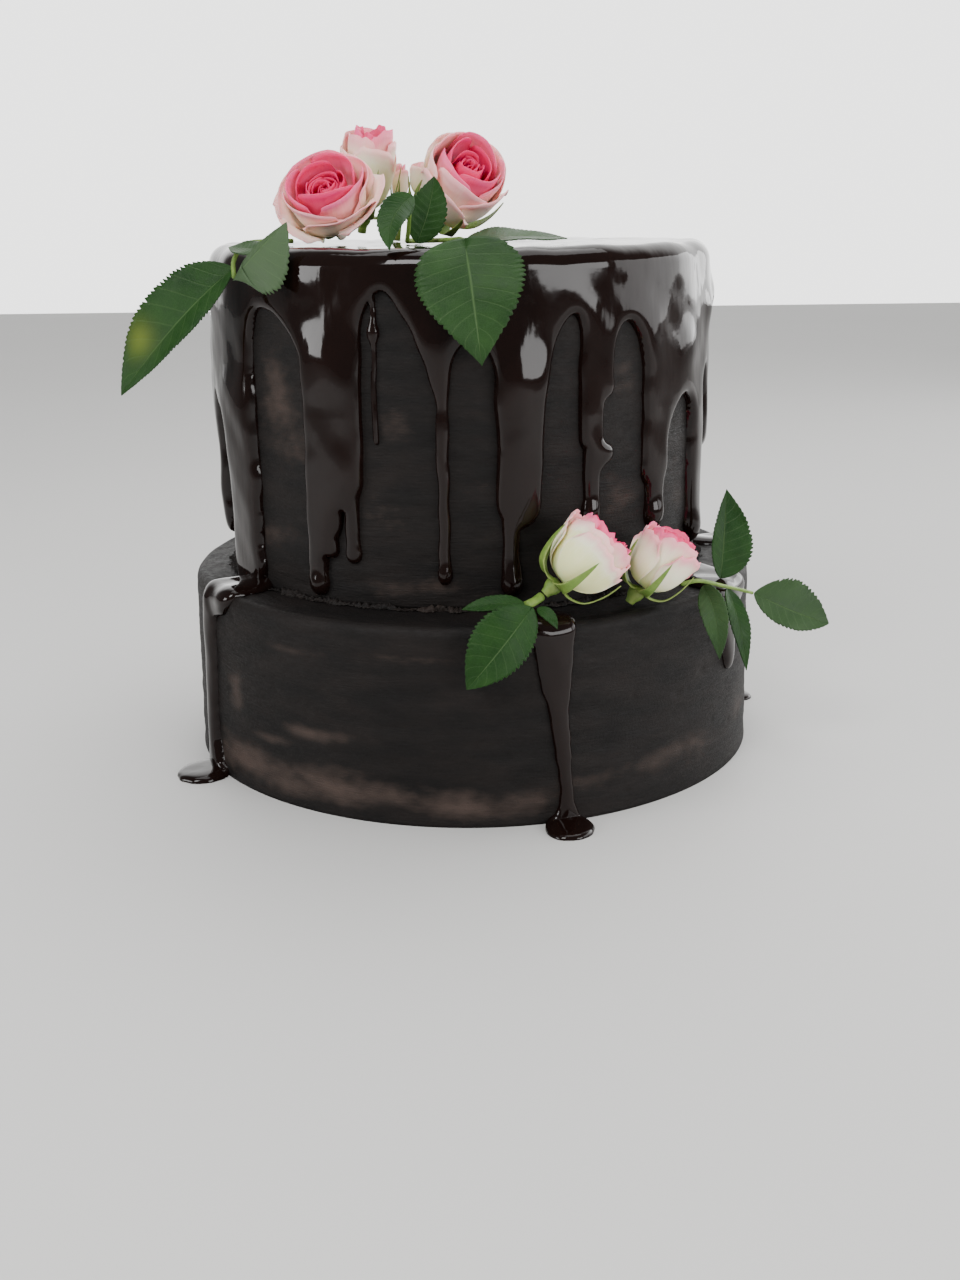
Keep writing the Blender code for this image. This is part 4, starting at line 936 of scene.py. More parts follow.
def lower_path(place, where, angle):
    """Distance along the lower tier's outline, from its axis over the ledge and rim down to the surface."""
    rim, wall, foot, floor = lower_marks(angle)
    distances = {
        "wall_of_upper": upper_wall_distance(angle) - RUN_START,
        "ledge": where,
        "rim": rim + math.radians(where) * LOWER_EDGE,
        "wall": wall + LOWER_HEIGHT - LOWER_EDGE - where,
        "foot": 0.5 * (foot + floor),
        "floor": floor + where - lower_radius(angle, 0.0) - FOOT_FILLET,
    }
    return distances[place]


def upper_wall_distance(angle):
    """How far from the lower tier's axis the upper tier's wall stands at an angle."""
    turn = math.radians(angle)
    way = np.array((math.sin(turn), -math.cos(turn)))
    along = float(UPPER_CENTRE @ way)
    beside = float(UPPER_CENTRE @ UPPER_CENTRE) - along * along
    return along + math.sqrt(UPPER_RADIUS ** 2 - beside)


def lower_surface(arc, path):
    """Bare outline of the lower tier: path runs out over the ledge, down the wall and out over the floor."""
    angle = np.degrees(arc / LOWER_RADIUS)
    rim, wall, foot, floor = lower_marks(angle)
    tilt = np.clip((path - rim) / LOWER_EDGE, 0.0, 0.5 * math.pi)
    down = np.clip(path - wall, 0.0, foot - wall)
    turn_out = np.clip((path - foot) / FOOT_FILLET, 0.0, 0.5 * math.pi)
    beyond = np.maximum(0.0, path - floor)
    height = LOWER_HEIGHT - LOWER_EDGE * (1.0 - np.cos(tilt)) - down - FOOT_FILLET * np.sin(turn_out)
    spread = lower_radius(angle, height) - lower_radius(angle, LOWER_HEIGHT)
    reach = np.minimum(path, rim) + LOWER_EDGE * np.sin(tilt) + spread
    reach = reach + FOOT_FILLET * (1.0 - np.cos(turn_out)) + beyond
    along, inward, out = directions(angle, 0.5 * math.pi - tilt + turn_out)
    return around(LOWER_CENTRE, angle, reach, height), along, -inward, out


def smooth_line(stations, step):
    """Closely spaced points on a smooth curve through the stations, all columns eased alike."""
    stations = np.array(stations)
    padded = np.vstack((2.0 * stations[0] - stations[1], stations, 2.0 * stations[-1] - stations[-2]))
    line = []
    for index in range(1, len(padded) - 2):
        before, here, after, beyond = padded[index - 1:index + 3]
        count = max(2, math.ceil(np.linalg.norm(after[:2] - here[:2]) / step))
        for share in np.arange(count) / count:
            line.append(0.5 * (2.0 * here + (after - before) * share
                               + (2.0 * before - 5.0 * here + 4.0 * after - beyond) * share ** 2
                               + (3.0 * here - before - 3.0 * after + beyond) * share ** 3))
    line.append(stations[-1])
    return np.array(line)


def chain_field(arc, path, line):
    """Signed distance inside a line of circles, and the thickness of the nearest one."""
    field = np.full(arc.shape, -np.inf)
    full = np.zeros(arc.shape)
    for middle, where, half, thickness in line:
        value = half - np.sqrt((arc - middle) ** 2 + (path - where) ** 2)
        nearer = value > field
        field = np.where(nearer, value, field)
        full = np.where(nearer, thickness, full)
    return field, full


def blur(values, rounds):
    """The values, averaged with their neighbours in a few rounds."""
    for _ in range(rounds):
        beside = sum(np.roll(values, step, axis) for step, axis in ((1, 0), (-1, 0), (1, 1), (-1, 1)))
        values = 0.5 * values + 0.125 * beside
    return values


def build_run(name, stations, material, seed):
    """A run of glaze over the lower tier, along a smooth line through its stations."""
    line = smooth_line([(math.radians(angle) * LOWER_RADIUS, lower_path(place, where, angle), half, thickness)
                        for place, where, angle, half, thickness in stations], RUN_STEP)
    margin = line[:, 2].max() + RUN_MARGIN
    arc, path = np.meshgrid(*(np.arange(line[:, axis].min() - margin, line[:, axis].max() + margin, RUN_STEP)
                              for axis in (0, 1)))
    turn = arc / LOWER_RADIUS
    field, full = chain_field(arc, path, line)
    field = field + layered_waves(turn, path, RUN_EDGE_WAVES, seed)
    full = blur(full, RUN_BLUR) * (1.0 + layered_waves(turn, path, RUN_THICKNESS_WAVES, seed + 1))
    points, faces, normals, _ = film_mesh(arc, path, field, full, RUN_REACH, lower_surface, RUN_BURIED)
    points[:, 2] = np.maximum(points[:, 2], 0.0)
    faces = [tuple(reversed(face)) for face in faces]
    make_piece(name + "_bead", points, faces, material, (name,), normals=normals)


def build_runs(material):
    for number, (name, stations) in enumerate(RUNS.items()):
        build_run(name, stations, material, SEEDS["runs"] + number)


# Blooms

def facing(direction):
    """The turn that points the local Z axis in a direction."""
    return Vector(direction).normalized().to_track_quat("Z", "Y").to_matrix().to_4x4()


def layer(share, opening):
    """Reach of the middle and rim, height of the rim, half width and roll at one layer of a bloom."""
    table = np.array(LAYERS)
    row = [np.interp(share, table[:, 0], table[:, column]) for column in range(1, table.shape[1])]
    middle, closed, wide, closed_height, wide_height, half, closed_roll, wide_roll = row
    height = closed_height + opening * (wide_height - closed_height)
    roll = closed_roll + opening * (wide_roll - closed_roll)
    return middle, closed + opening * (wide - closed), height, math.radians(half), roll


def cubic(points, share):
    a, b, c, d = (np.array(point) for point in points)
    share = np.asarray(share)[..., None]
    rest = 1.0 - share
    return a * rest ** 3 + 3.0 * b * rest ** 2 * share + 3.0 * c * rest * share ** 2 + d * share ** 3


def wavy(place, draw):
    """A sine wave shifted at random."""
    return np.sin(place + draw.uniform(*PHASES))


def petal_rim(across, outward, ragged, draw):
    """Share of its line that a petal reaches at each place across: rounded, pointed, wavy and notched."""
    rim = 1.0 - PETAL_ROUNDING * np.abs(across) ** PETAL_ROUNDNESS
    rim = rim + PETAL_WAVE * wavy(3.0 * across + 0.5 * math.pi, draw)
    beside = across - draw.uniform(-PETAL_POINT_STRAY, PETAL_POINT_STRAY)
    rim = rim + PETAL_POINT * outward * np.exp(-(beside / PETAL_POINT_WIDTH) ** 2)
    tears = np.abs(wavy(7.0 * across, draw) * wavy(11.0 * across, draw))
    return np.minimum(1.0, rim - PETAL_TEAR * ragged * tears)


def petal_points(bloom, shape, turn, outward, draw):
    """One petal as a grid of points in the bloom's own frame, with its share up and across."""
    middle, rim, height, half, roll = shape
    across, up = np.meshgrid(np.linspace(-1.0, 1.0, PETAL_ACROSS), np.linspace(0.0, 1.0, PETAL_UP))
    line = cubic(((0.10, 0.0), (0.72 * middle + 0.2, 0.02), (1.12 * middle, 0.58 * height), (rim, height)),
                 up * petal_rim(across, outward, bloom.ragged, draw))
    edge = smooth_step(np.maximum(up, PETAL_SIDE * np.abs(across)), *PETAL_EDGE)
    reach = line[..., 0] + roll * edge + PETAL_LAP * across * (0.3 + up)
    level = line[..., 1] - PETAL_HANG * roll * edge ** 2 - PETAL_SWAY * edge * wavy(2.0 * across, draw)
    widening = np.sin(0.5 * math.pi * np.minimum(1.0, 1.25 * up + 0.1))
    spread = half * (PETAL_FOOT_WIDTH + (1.0 - PETAL_FOOT_WIDTH) * widening)
    spread = spread * (1.0 - PETAL_TUCK * edge * smooth_step(np.abs(across), 0.6, 1.0))
    around_axis = turn + across * spread
    ripple = PETAL_RIPPLE * wavy(5.0 * across + 7.0 * up, draw) * up
    ripple = ripple + RAGGED_OUT * bloom.ragged * edge * wavy(16.0 * across, draw)
    level = level + RAGGED_UP * bloom.ragged * edge * wavy(13.0 * across, draw)
    reach = (reach + ripple) * bloom.radius
    points = np.stack((reach * np.cos(around_axis), reach * np.sin(around_axis), level * bloom.length),
                      axis=-1)
    return points, up, across, edge


def build_bloom(name, bloom, material):
    """The petals of a bloom, from its heart outwards."""
    heart, outer, rim = bloom.pinks
    draw = np.random.default_rng(len(name) * SEEDS["blooms"] + bloom.petals)
    points = []
    faces = []
    blush = []
    place = []
    for number in range(bloom.petals):
        share = number / (bloom.petals - 1)
        stray = draw.uniform(-PETAL_STRAY, PETAL_STRAY)
        angle = math.radians(bloom.turn + GOLDEN_ANGLE * number + stray)
        petal, up, across, edge = petal_points(bloom, layer(share, bloom.opening), angle,
                                               share * bloom.opening, draw)
        faces += grid_faces(PETAL_UP, PETAL_ACROSS, number * PETAL_UP * PETAL_ACROSS)
        points.append(petal.reshape(-1, 3))
        inner = 1.0 - smooth_step(share, *HEART_ENDS)
        upward = PETAL_FOOT_PINK + (1.0 - PETAL_FOOT_PINK) * up ** (1.2 + share)
        pink = (outer + (heart - outer) * inner) * upward + rim * edge
        pink = pink - PETAL_FOOT_PALENESS * share * (1.0 - up) ** 2 + draw.uniform(-PINK_STRAY, PINK_STRAY)
        blush.append(pink.ravel())
        place.append(np.stack((across, up, np.full(up.shape, number)), axis=-1).reshape(-1, 3))
    item = make_piece(name + "_petals", in_place(bloom, points), faces, material, (name,),
                      floats={"blush": np.concatenate(blush)}, vectors={"place": np.concatenate(place)})
    thicken(item, PETAL_THICKNESS)


def thicken(item, thickness):
    solid = item.modifiers.new("thickness", "SOLIDIFY")
    solid.thickness = thickness * MM
    solid.offset = 0.0


def in_place(bloom, points):
    """Lists of points in the bloom's own frame, put where the bloom stands and faces."""
    foot = Vector(bloom.middle) - Vector(bloom.direction).normalized() * 0.5 * bloom.length
    frame_matrix = np.array(Matrix.Translation(foot) @ facing(bloom.direction))
    return np.concatenate(points) @ frame_matrix[:3, :3].T + frame_matrix[:3, 3]


def sepal_rows(bloom, path, turn):
    """One pointed sepal as rows of points along a path of (reach, height) shares."""
    across = np.linspace(-1.0, 1.0, SEPAL_ACROSS)
    shares = np.linspace(0.0, 1.0, len(path))
    rows = []
    for up in np.linspace(0.0, 1.0, SEPAL_UP):
        half = SEPAL_HALF_WIDTH * bloom.radius * (1.0 - up) ** 0.75 * min(1.0, 0.55 + 2.2 * up)
        side = across * half
        distance = np.interp(up, shares, path[:, 0]) * bloom.radius - 0.10 * half * across ** 2
        height = np.interp(up, shares, path[:, 1]) * bloom.length - SEPAL_DROP - 0.15 * half * across ** 2
        rows.append(np.stack((distance * math.cos(turn) - side * math.sin(turn),
                              distance * math.sin(turn) + side * math.cos(turn), height), axis=-1))
    return rows


def build_calyx(name, bloom, material):
    """Pointed sepals under the bloom, the hip below them and the top of the stem."""
    sepals = BUD_SEPALS if name.startswith("bud") else ROSE_SEPALS
    closeness = 1.0 - SEPAL_SHORTENING * max(0.0, 2.0 * bloom.opening - 1.0)
    path = smooth_line([(reach * closeness, height * closeness ** 3) for reach, height in SEPAL_PATH],
                       SEPAL_STEP)
    across, up = np.meshgrid(np.linspace(-1.0, 1.0, SEPAL_ACROSS), np.linspace(0.0, 1.0, SEPAL_UP))
    points = []
    faces = []
    place = []
    for number in range(sepals):
        points += sepal_rows(bloom, path, (number + 0.5) * 2.0 * math.pi / sepals)
        place.append(np.stack((across, up, np.full(up.shape, number)), axis=-1).reshape(-1, 3))
        faces += grid_faces(SEPAL_UP, SEPAL_ACROSS, number * up.size)
    rings = (*HIP, (HIP[-1][0], HIP[-1][1] + bloom.stem))
    turns = np.linspace(0.0, 2.0 * math.pi, TUBE_SIDES, endpoint=False)
    for reach, depth in rings:
        points.append(np.stack((reach * np.cos(turns), reach * np.sin(turns),
                                np.full(TUBE_SIDES, -SEPAL_DROP - depth)), axis=-1))
        place.append(np.stack((np.cos(turns), np.full(TUBE_SIDES, -depth), np.zeros(TUBE_SIDES)), axis=-1))
    first = sepals * up.size
    faces += [tuple(reversed(face)) for face in grid_faces(len(rings), TUBE_SIDES, first, closed=True)]
    last = first + len(HIP) * TUBE_SIDES
    faces.append(tuple(reversed(range(last, last + TUBE_SIDES))))
    node = name.replace("rose", "calyx").replace("bud", "calyx_bud")
    item = make_piece(node + "_green", in_place(bloom, points), faces, material, (node,),
                      vectors={"place": np.concatenate(place)})
    thicken(item, LEAF_THICKNESS)


# Leaves and stalks

def tooth(share):
    """Outline of one tooth of a leaf's margin: rises slowly, drops fast, pointing to the leaf's tip."""
    return min(share / LEAF_TOOTH_PEAK, (1.0 - share) / (1.0 - LEAF_TOOTH_PEAK))


def quadratic(points, share):
    a, b, c = (np.array(point) for point in points)
    rest = 1.0 - share
    return a * rest ** 2 + 2.0 * b * rest * share + c * share ** 2


def leaf_width(share, widest):
    """Share of the half width along a leaf: a rounded foot, widest before the middle, a drawn-out tip."""
    foot = (share / widest) ** (LEAF_SHARPNESS * widest)
    return foot * ((1.0 - share) / (1.0 - widest)) ** (LEAF_SHARPNESS * (1.0 - widest))


def leaf_stain(name, share, across):
    """How far the blade has yellowed at a place."""
    if name not in LEAF_STAINS:
        return np.zeros(len(across))
    place, side, long, wide = LEAF_STAINS[name]
    return np.exp(-((share - place) / long) ** 2 - ((across - side) / wide) ** 2)


def leaf_row(name, shape, share, bite, bend, phase):
    """Points across a leaf at a share of its length, toothed, veined, waved and folded, and their stain."""
    base, pull, tip, halves, face, fold, lobe_length, widest = shape
    across = np.linspace(-1.0, 1.0, LEAF_ACROSS)
    half = np.where(across > 0.0, halves[0], halves[1])
    here, along, side, up = leaf_frame(base, pull, tip, face, share * LEAF_END)
    width = leaf_width(share, widest)
    reach = across * half * width * (1.0 - bite * np.abs(across) ** 4)
    back = lobe_length * np.abs(across) ** LEAF_LOBE_WIDTH * (1.0 - share) ** LEAF_LOBE_END
    wave = half * LEAF_WAVE * bend * np.sin(11.0 * share + 2.4 * across + phase) * np.abs(across) ** 1.5
    veins = np.sin(2.0 * math.pi * (share * LEAF_VEINS - LEAF_VEIN_SLANT * np.abs(across)))
    quilt = LEAF_QUILT * np.abs(across) ** 0.5 * (1.0 - np.abs(across)) * veins
    lift = np.abs(reach) * fold + (wave + quilt) * width
    points = here + reach[:, None] * side - back[:, None] * along + lift[:, None] * up
    return points, leaf_stain(name, share, across)


def build_leaf(name, shape, material, seed):
    """A blade with a toothed margin, and the shares across and along it that its material reads."""
    base, _, tip, *_ = shape
    length = np.linalg.norm(np.array(tip) - np.array(base))
    steps = max(LEAF_LEAST_TEETH, round(length / LEAF_TEETH_SPACING)) * LEAF_TOOTH_STEPS
    draw = np.random.default_rng(seed)
    phase = draw.uniform(*PHASES)
    bend = draw.uniform(*LEAF_BENDS)
    teeth = draw.uniform(*LEAF_TOOTH_SIZES, (steps // LEAF_TOOTH_STEPS + 1, 2))
    across, along = np.meshgrid(np.linspace(-1.0, 1.0, LEAF_ACROSS), np.linspace(0.0, 1.0, steps + 1))
    rows = []
    for step in range(steps + 1):
        share = step / steps
        size = np.where(across[step] > 0.0, *teeth[step // LEAF_TOOTH_STEPS])
        bite = LEAF_TOOTH_DEPTH * (1.0 - tooth(step / LEAF_TOOTH_STEPS % 1.0))
        bite = bite * min(1.0, share / LEAF_TOOTH_START) * size
        rows.append(leaf_row(name, shape, share, bite, bend, phase))
    points, stain = (np.concatenate(part) for part in zip(*rows))
    place = np.stack((across, along, np.zeros(across.shape)), axis=-1).reshape(-1, 3)
    pale = np.full(len(points), LEAF_PALENESS.get(name, 0.0))
    item = make_piece(name + "_blade", points, grid_faces(steps + 1, LEAF_ACROSS), material,
                      (name,), floats={"pale": pale, "stain": stain}, vectors={"place": place})
    thicken(item, LEAF_THICKNESS)


def leaf_frame(base, pull, tip, face, share):
    """Place on the midrib, and the directions along it, across the blade and out of it."""
    here = quadratic((base, pull, tip), share)
    ahead = quadratic((base, pull, tip), min(1.0, share + LEAF_LOOK))
    behind = quadratic((base, pull, tip), max(0.0, share - LEAF_LOOK))
    along = (ahead - behind) / np.linalg.norm(ahead - behind)
    side = np.cross(along, face)
    side = side / np.linalg.norm(side)
    return here, along, side, np.cross(side, along)


def build_tube(name, path, material, node):
    """A round stalk along a smooth line, flat at both ends."""
    first, last, *stops = path
    stations = [(*stop, first + (last - first) * number / (len(stops) - 1))
                for number, stop in enumerate(stops)]
    line = smooth_line(stations, TUBE_STEP)
    turns = np.linspace(0.0, 2.0 * math.pi, TUBE_SIDES, endpoint=False)
    points = []
    for number, (*here, radius) in enumerate(line):
        along = line[min(number + 1, len(line) - 1), :3] - line[max(number - 1, 0), :3]
        along = along / np.linalg.norm(along)
        one = np.cross(along, TUBE_REFERENCE)
        one = one / np.linalg.norm(one)
        two = np.cross(along, one)
        points.append(here + radius * (np.cos(turns)[:, None] * one + np.sin(turns)[:, None] * two))
    points = np.concatenate(points)
    faces = [tuple(reversed(face)) for face in grid_faces(len(line), TUBE_SIDES, closed=True)]
    faces.append(tuple(range(TUBE_SIDES)))
    faces.append(tuple(reversed(range(len(points) - TUBE_SIDES, len(points)))))
    place = np.zeros((len(points), 3))
    place[:, 1] = -np.repeat(np.arange(len(line)), TUBE_SIDES)
    make_piece(name, points, faces, material, (node,), vectors={"place": place})


# Materials

def new_material(name):
    material = bpy.data.materials.new(name)
    material.use_nodes = True
    tree = material.node_tree
    return material, tree, tree.nodes["Principled BSDF"]


def set_inputs(tree, node, inputs):
    """Links sockets to a node's inputs, and sets the inputs that are given as values."""
    for key, value in inputs.items():
        if isinstance(value, bpy.types.NodeSocket):
            tree.links.new(value, node.inputs[key])
        else:
            node.inputs[key].default_value = value


def add_node(tree, kind, inputs=None, **settings):
    node = tree.nodes.new(kind)
    for key, value in settings.items():
        setattr(node, key, value)
    set_inputs(tree, node, inputs or {})
    return node


def attribute(tree, name):
    return add_node(tree, "ShaderNodeAttribute", attribute_name=name)


def object_place(tree, scale=(1.0, 1.0, 1.0)):
    """Object coordinates in millimetres, stretched."""
    place = add_node(tree, "ShaderNodeTexCoord")
    mapping = add_node(tree, "ShaderNodeMapping", {"Vector": place.outputs["Object"],
                                                   "Scale": tuple(1000.0 * part for part in scale)})
    return mapping.outputs["Vector"]


def noise(tree, vector, scale, detail=3.0, roughness=0.5):
    node = add_node(tree, "ShaderNodeTexNoise", {"Vector": vector, "Scale": scale, "Detail": detail,
                                                 "Roughness": roughness})
    return node.outputs["Fac"]


def calculate(tree, operation, first, second=0.0, third=0.0):
    node = add_node(tree, "ShaderNodeMath", {0: first, 1: second, 2: third}, operation=operation)
    return node.outputs[0]


def remap(tree, value, low, high, new_low=0.0, new_high=1.0):
    node = add_node(tree, "ShaderNodeMapRange", {"Value": value, "From Min": low, "From Max": high,
                                                 "To Min": new_low, "To Max": new_high})
    return node.outputs["Result"]


def ramp(tree, value, *stops):
    node = add_node(tree, "ShaderNodeValToRGB", {"Fac": value})
    elements = node.color_ramp.elements
    while len(elements) < len(stops):
        elements.new(0.5)
    for element, (place, colour) in zip(elements, stops):
        element.position = place
        element.color = (*colour, 1.0)
    return node.outputs["Color"]


def mix(tree, share, first, second):
    """A colour between two, at a share that is a value or a socket."""
    node = add_node(tree, "ShaderNodeMix", data_type="RGBA")
    sockets = {"Factor": share, "A": first, "B": second}
    kinds = {"Factor": "VALUE", "A": "RGBA", "B": "RGBA"}
    for socket in node.inputs:
        if kinds.get(socket.name) != socket.type:
            continue
        value = sockets[socket.name]
        if isinstance(value, bpy.types.NodeSocket):
            tree.links.new(value, socket)
        else:
            socket.default_value = (*value, 1.0) if isinstance(value, tuple) else value
    return next(socket for socket in node.outputs if socket.type == "RGBA")


def bump(tree, height, distance, strength=1.0, normal=None):
    inputs = {"Height": height, "Distance": distance * MM, "Strength": strength}
    if normal is not None:
        inputs["Normal"] = normal
    return add_node(tree, "ShaderNodeBump", inputs).outputs["Normal"]


def icing_material():
    material, tree, shader = new_material("icing_buttercream")
    pale = attribute(tree, "pale").outputs["Fac"]
    flat = object_place(tree, (1.0, 1.0, 3.0))
    fine = noise(tree, flat, 0.35, 5.0, 0.6)
    broad = noise(tree, flat, 0.045, 3.0, 0.5)
    share = calculate(tree, "MULTIPLY_ADD", calculate(tree, "SUBTRACT", fine, 0.5), 0.5, pale)
    dark = mix(tree, remap(tree, broad, 0.35, 0.7), (0.0052, 0.0044, 0.0042), (0.0105, 0.0080, 0.0072))
    colour = mix(tree, remap(tree, share, 0.10, 1.0), dark, (0.060, 0.042, 0.035))
    grain = noise(tree, object_place(tree, (1.0, 1.0, 1.6)), 0.9, 4.0, 0.65)
    lines = noise(tree, object_place(tree, (0.25, 0.25, 3.2)), 0.5, 3.0, 0.5)
    set_inputs(tree, shader, {
        "Base Color": colour,
        "Roughness": remap(tree, fine, 0.3, 0.7, 0.52, 0.72),
        "Specular IOR Level": 0.16,
        "Normal": bump(tree, lines, 0.35, 0.7, bump(tree, grain, 0.22)),
    })
    return material


def glaze_material():
    material, tree, shader = new_material("glaze_chocolate")
    place = object_place(tree)
    cloud = noise(tree, place, 0.05, 3.0, 0.5)
    colour = mix(tree, cloud, (0.0042, 0.0019, 0.0015), (0.0095, 0.0040, 0.0031))
    drawn_down = object_place(tree, (1.0, 1.0, 0.35))
    normal = bump(tree, noise(tree, drawn_down, 0.15, 2.0, 0.45), 0.18)
    set_inputs(tree, shader, {
        "Base Color": colour,
        "Roughness": remap(tree, noise(tree, place, 0.12, 4.0, 0.6), 0.35, 0.75, 0.05, 0.11),
        "IOR": 1.47,
        "Specular IOR Level": 0.28,
        "Normal": bump(tree, noise(tree, place, 0.6, 2.0, 0.5), 0.006, 1.0, normal),
    })
    return material


def petal_material():
    material, tree, shader = new_material("petals_rose")
    blush = attribute(tree, "blush").outputs["Fac"]
    place = attribute(tree, "place").outputs["Vector"]
    streaked = add_node(tree, "ShaderNodeMapping", {"Vector": place, "Scale": (26.0, 2.0, 9.0)})
    veins = noise(tree, streaked.outputs["Vector"], 1.0, 3.0, 0.6)
    cloud = noise(tree, object_place(tree), 0.16, 2.0, 0.5)
    value = calculate(tree, "MULTIPLY_ADD", calculate(tree, "SUBTRACT", veins, 0.5), 0.16, blush)
    value = calculate(tree, "MULTIPLY_ADD", calculate(tree, "SUBTRACT", cloud, 0.5), 0.14, value)
    colour = ramp(tree, value, (0.0, (0.84, 0.82, 0.42)), (0.12, (0.97, 0.88, 0.66)),
                  (0.28, (0.97, 0.74, 0.62)), (0.50, (0.95, 0.45, 0.47)), (0.72, (0.86, 0.13, 0.29)),
                  (1.0, (0.74, 0.018, 0.14)))
    set_inputs(tree, shader, {
        "Base Color": colour,
        "Roughness": 0.5,
        "Specular IOR Level": 0.35,
        "Subsurface Weight": 0.25,
        "Subsurface Radius": (0.9, 0.35, 0.25),
        "Subsurface Scale": 1.2 * MM,
        "Normal": bump(tree, veins, 0.10),
    })
    return material


def leaf_material():
    material, tree, shader = new_material("leaves_rose")
    place = add_node(tree, "ShaderNodeSeparateXYZ", {"Vector": attribute(tree, "place").outputs["Vector"]})
    across = calculate(tree, "ABSOLUTE", place.outputs["X"])
    along = place.outputs["Y"]
    rib = remap(tree, across, 0.0, 0.035, 1.0, 0.0)
    slanted = calculate(tree, "MULTIPLY_ADD", across, -LEAF_VEIN_SLANT,
                        calculate(tree, "MULTIPLY", along, LEAF_VEINS))
    crest = calculate(tree, "ABSOLUTE", calculate(tree, "SUBTRACT", calculate(tree, "FRACT", slanted), 0.5))
    branch = remap(tree, crest, 0.0, 0.060, 1.0, 0.0)
    fine = add_node(tree, "ShaderNodeTexVoronoi", {"Vector": object_place(tree), "Scale": 1.1},
                    feature="DISTANCE_TO_EDGE")
    net = remap(tree, fine.outputs["Distance"], 0.0, 0.10, 1.0, 0.0)
    veins = calculate(tree, "MAXIMUM", rib, calculate(tree, "MULTIPLY", branch, 0.35))
    cloud = noise(tree, object_place(tree), 0.08, 4.0, 0.6)
    blade = mix(tree, remap(tree, cloud, 0.3, 0.7), (0.005, 0.027, 0.0035), (0.014, 0.050, 0.007))
    blade = mix(tree, attribute(tree, "pale").outputs["Fac"], blade, (0.105, 0.150, 0.085))
    blade = mix(tree, calculate(tree, "MULTIPLY", attribute(tree, "stain").outputs["Fac"], 0.6), blade,
                (0.150, 0.190, 0.022))
    blade = mix(tree, calculate(tree, "MULTIPLY", net, 0.14), blade, (0.060, 0.120, 0.045))
    colour = mix(tree, calculate(tree, "MULTIPLY", veins, 0.40), blade, (0.110, 0.190, 0.070))
    sunk = calculate(tree, "MULTIPLY_ADD", net, -0.12, calculate(tree, "MULTIPLY", veins, -0.8))
    set_inputs(tree, shader, {
        "Base Color": colour,
        "Roughness": remap(tree, cloud, 0.3, 0.7, 0.38, 0.55),
        "Specular IOR Level": 0.15,
        "Normal": bump(tree, sunk, 0.22),
    })
    return material


def stem_material():
    material, tree, shader = new_material("stems_green")
    place = add_node(tree, "ShaderNodeSeparateXYZ", {"Vector": attribute(tree, "place").outputs["Vector"]})
    edge = calculate(tree, "ABSOLUTE", place.outputs["X"])
    cloud = noise(tree, object_place(tree), 0.22, 3.0, 0.6)
    green = mix(tree, remap(tree, cloud, 0.3, 0.7), (0.085, 0.170, 0.022), (0.190, 0.290, 0.055))
    colour = mix(tree, remap(tree, edge, 0.75, 1.0, 0.0, 0.35), green, (0.34, 0.37, 0.13))
    set_inputs(tree, shader, {
        "Base Color": colour,
        "Roughness": 0.5,
        "Specular IOR Level": 0.4,
        "Normal": bump(tree, noise(tree, object_place(tree), 1.4, 3.0, 0.6), 0.12),
    })
    return material


def floor_material():
    material, tree, shader = new_material("floor_pale")
    cloud = noise(tree, object_place(tree), 0.002, 3.0, 0.5)
    set_inputs(tree, shader, {
        "Base Color": mix(tree, cloud, (0.53, 0.525, 0.515), (0.57, 0.565, 0.555)),
        "Roughness": 0.6,
        "Specular IOR Level": 0.2,
    })
    return material


# Stage

def build_floor(material):
    corners = ((-1.0, -1.0), (1.0, -1.0), (1.0, 1.0), (-1.0, 1.0))
    mesh = bpy.data.meshes.new("floor")
    mesh.from_pydata([(FLOOR_HALF * x, FLOOR_HALF * y, 0.0) for x, y in corners], [], [(0, 1, 2, 3)])
    mesh.materials.append(material)
    item = bpy.data.objects.new("floor", mesh)
    bpy.context.scene.collection.objects.link(item)


def add_light(name, place, target, width, height, power):
    light = bpy.data.lights.new(name, "AREA")
    light.shape = "RECTANGLE"
    light.size = width
    light.size_y = height
    light.energy = power
    item = bpy.data.objects.new(name, light)
    item.location = place
    item.rotation_euler = (Vector(target) - Vector(place)).to_track_quat("-Z", "Y").to_euler()
    bpy.context.scene.collection.objects.link(item)


def build_lights():
    add_light("softbox_right", (1.10, 0.30, 0.40), (0.0, 0.05, 0.36), 1.5, 0.50, 9.5)
    add_light("softbox_front_right", (0.90, -0.90, 0.42), (0.0, 0.0, 0.36), 0.95, 0.42, 11.5)
    add_light("softbox_left", (-0.95, -0.45, 0.36), (0.0, 0.0, 0.28), 0.42, 0.30, 4.6)
    add_light("softbox_front", (-0.45, -1.00, 1.10), (0.0, 0.0, 0.15), 0.50, 0.50, 13.0)
    add_light("softbox_top", (0.10, 0.10, 1.25), (0.0, 0.0, 0.10), 1.0, 1.0, 10.5)
    build_world()


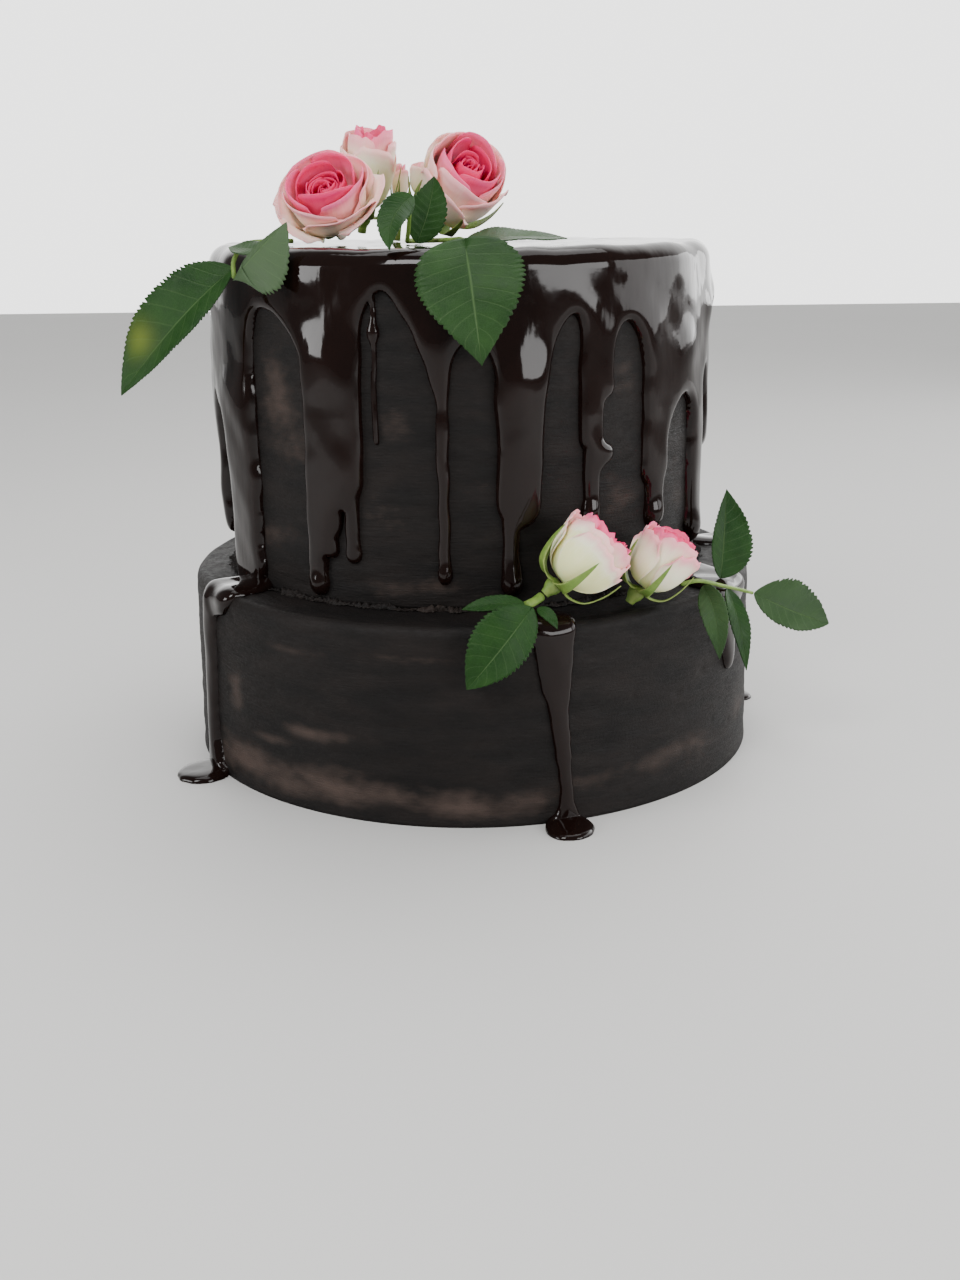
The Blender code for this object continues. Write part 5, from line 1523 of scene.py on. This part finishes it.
def build_world():
    """A studio with a bright wall behind the cake and dim surroundings in front of it."""
    world = bpy.data.worlds.new("studio")
    world.use_nodes = True
    tree = world.node_tree
    direction = add_node(tree, "ShaderNodeTexCoord").outputs["Generated"]
    parts = add_node(tree, "ShaderNodeSeparateXYZ", {"Vector": direction}).outputs
    leftward = calculate(tree, "MINIMUM", parts["X"], 0.0)
    depth = calculate(tree, "MULTIPLY_ADD", leftward, WALL_LEAN, parts["Y"])
    glow = add_node(tree, "ShaderNodeMapRange", {
        "Value": depth, "From Min": WALL_FADE[0], "From Max": WALL_FADE[1],
        "To Min": STUDIO_DIM, "To Max": STUDIO_BRIGHT}, interpolation_type="SMOOTHSTEP")
    background = tree.nodes["Background"]
    background.inputs["Color"].default_value = (1.0, 1.0, 0.992, 1.0)
    tree.links.new(glow.outputs["Result"], background.inputs["Strength"])
    bpy.context.scene.world = world


def build_camera():
    forward = Vector((0.0, math.cos(CAMERA_TILT), -math.sin(CAMERA_TILT)))
    right = Vector((1.0, 0.0, 0.0))
    up = right.cross(forward)
    across = right * math.cos(CAMERA_ROLL) + up * math.sin(CAMERA_ROLL)
    upright = up * math.cos(CAMERA_ROLL) - right * math.sin(CAMERA_ROLL)
    camera = bpy.data.cameras.new("camera")
    camera.lens = CAMERA_LENS
    camera.sensor_width = CAMERA_SENSOR
    camera.sensor_fit = "AUTO"
    item = bpy.data.objects.new("camera", camera)
    turn = Matrix((across, upright, -forward)).transposed().to_4x4()
    item.matrix_world = Matrix.Translation(Vector(CAMERA_PLACE) * MM) @ turn
    bpy.context.scene.collection.objects.link(item)
    bpy.context.scene.camera = item


def build_cake():
    icing = icing_material()
    glaze = glaze_material()
    petals = petal_material()
    leaves = leaf_material()
    stems = stem_material()
    build_icing("icing_lower", LOWER_CENTRE, lower_icing_rows(), LOWER_RADIUS, LOWER_SMEARS, LOWER_PITS,
                icing, "lower_tier")
    build_icing("icing_upper", UPPER_CENTRE, upper_icing_rows(), UPPER_RADIUS, UPPER_SMEARS, UPPER_PITS,
                icing, "upper_tier")
    build_seam(icing)
    build_coat(glaze)
    build_runs(glaze)
    for name, shape in BLOOMS.items():
        build_bloom(name, Bloom(*shape), petals)
        build_calyx(name, Bloom(*shape), stems)
    for number, (name, shape) in enumerate(LEAVES.items()):
        build_leaf(name, shape, leaves, SEEDS["leaves"] + number)
    for name, path in STALKS.items():
        build_tube(name + "_round", path, stems, name)


build_cake()
build_floor(floor_material())
build_lights()
build_camera()
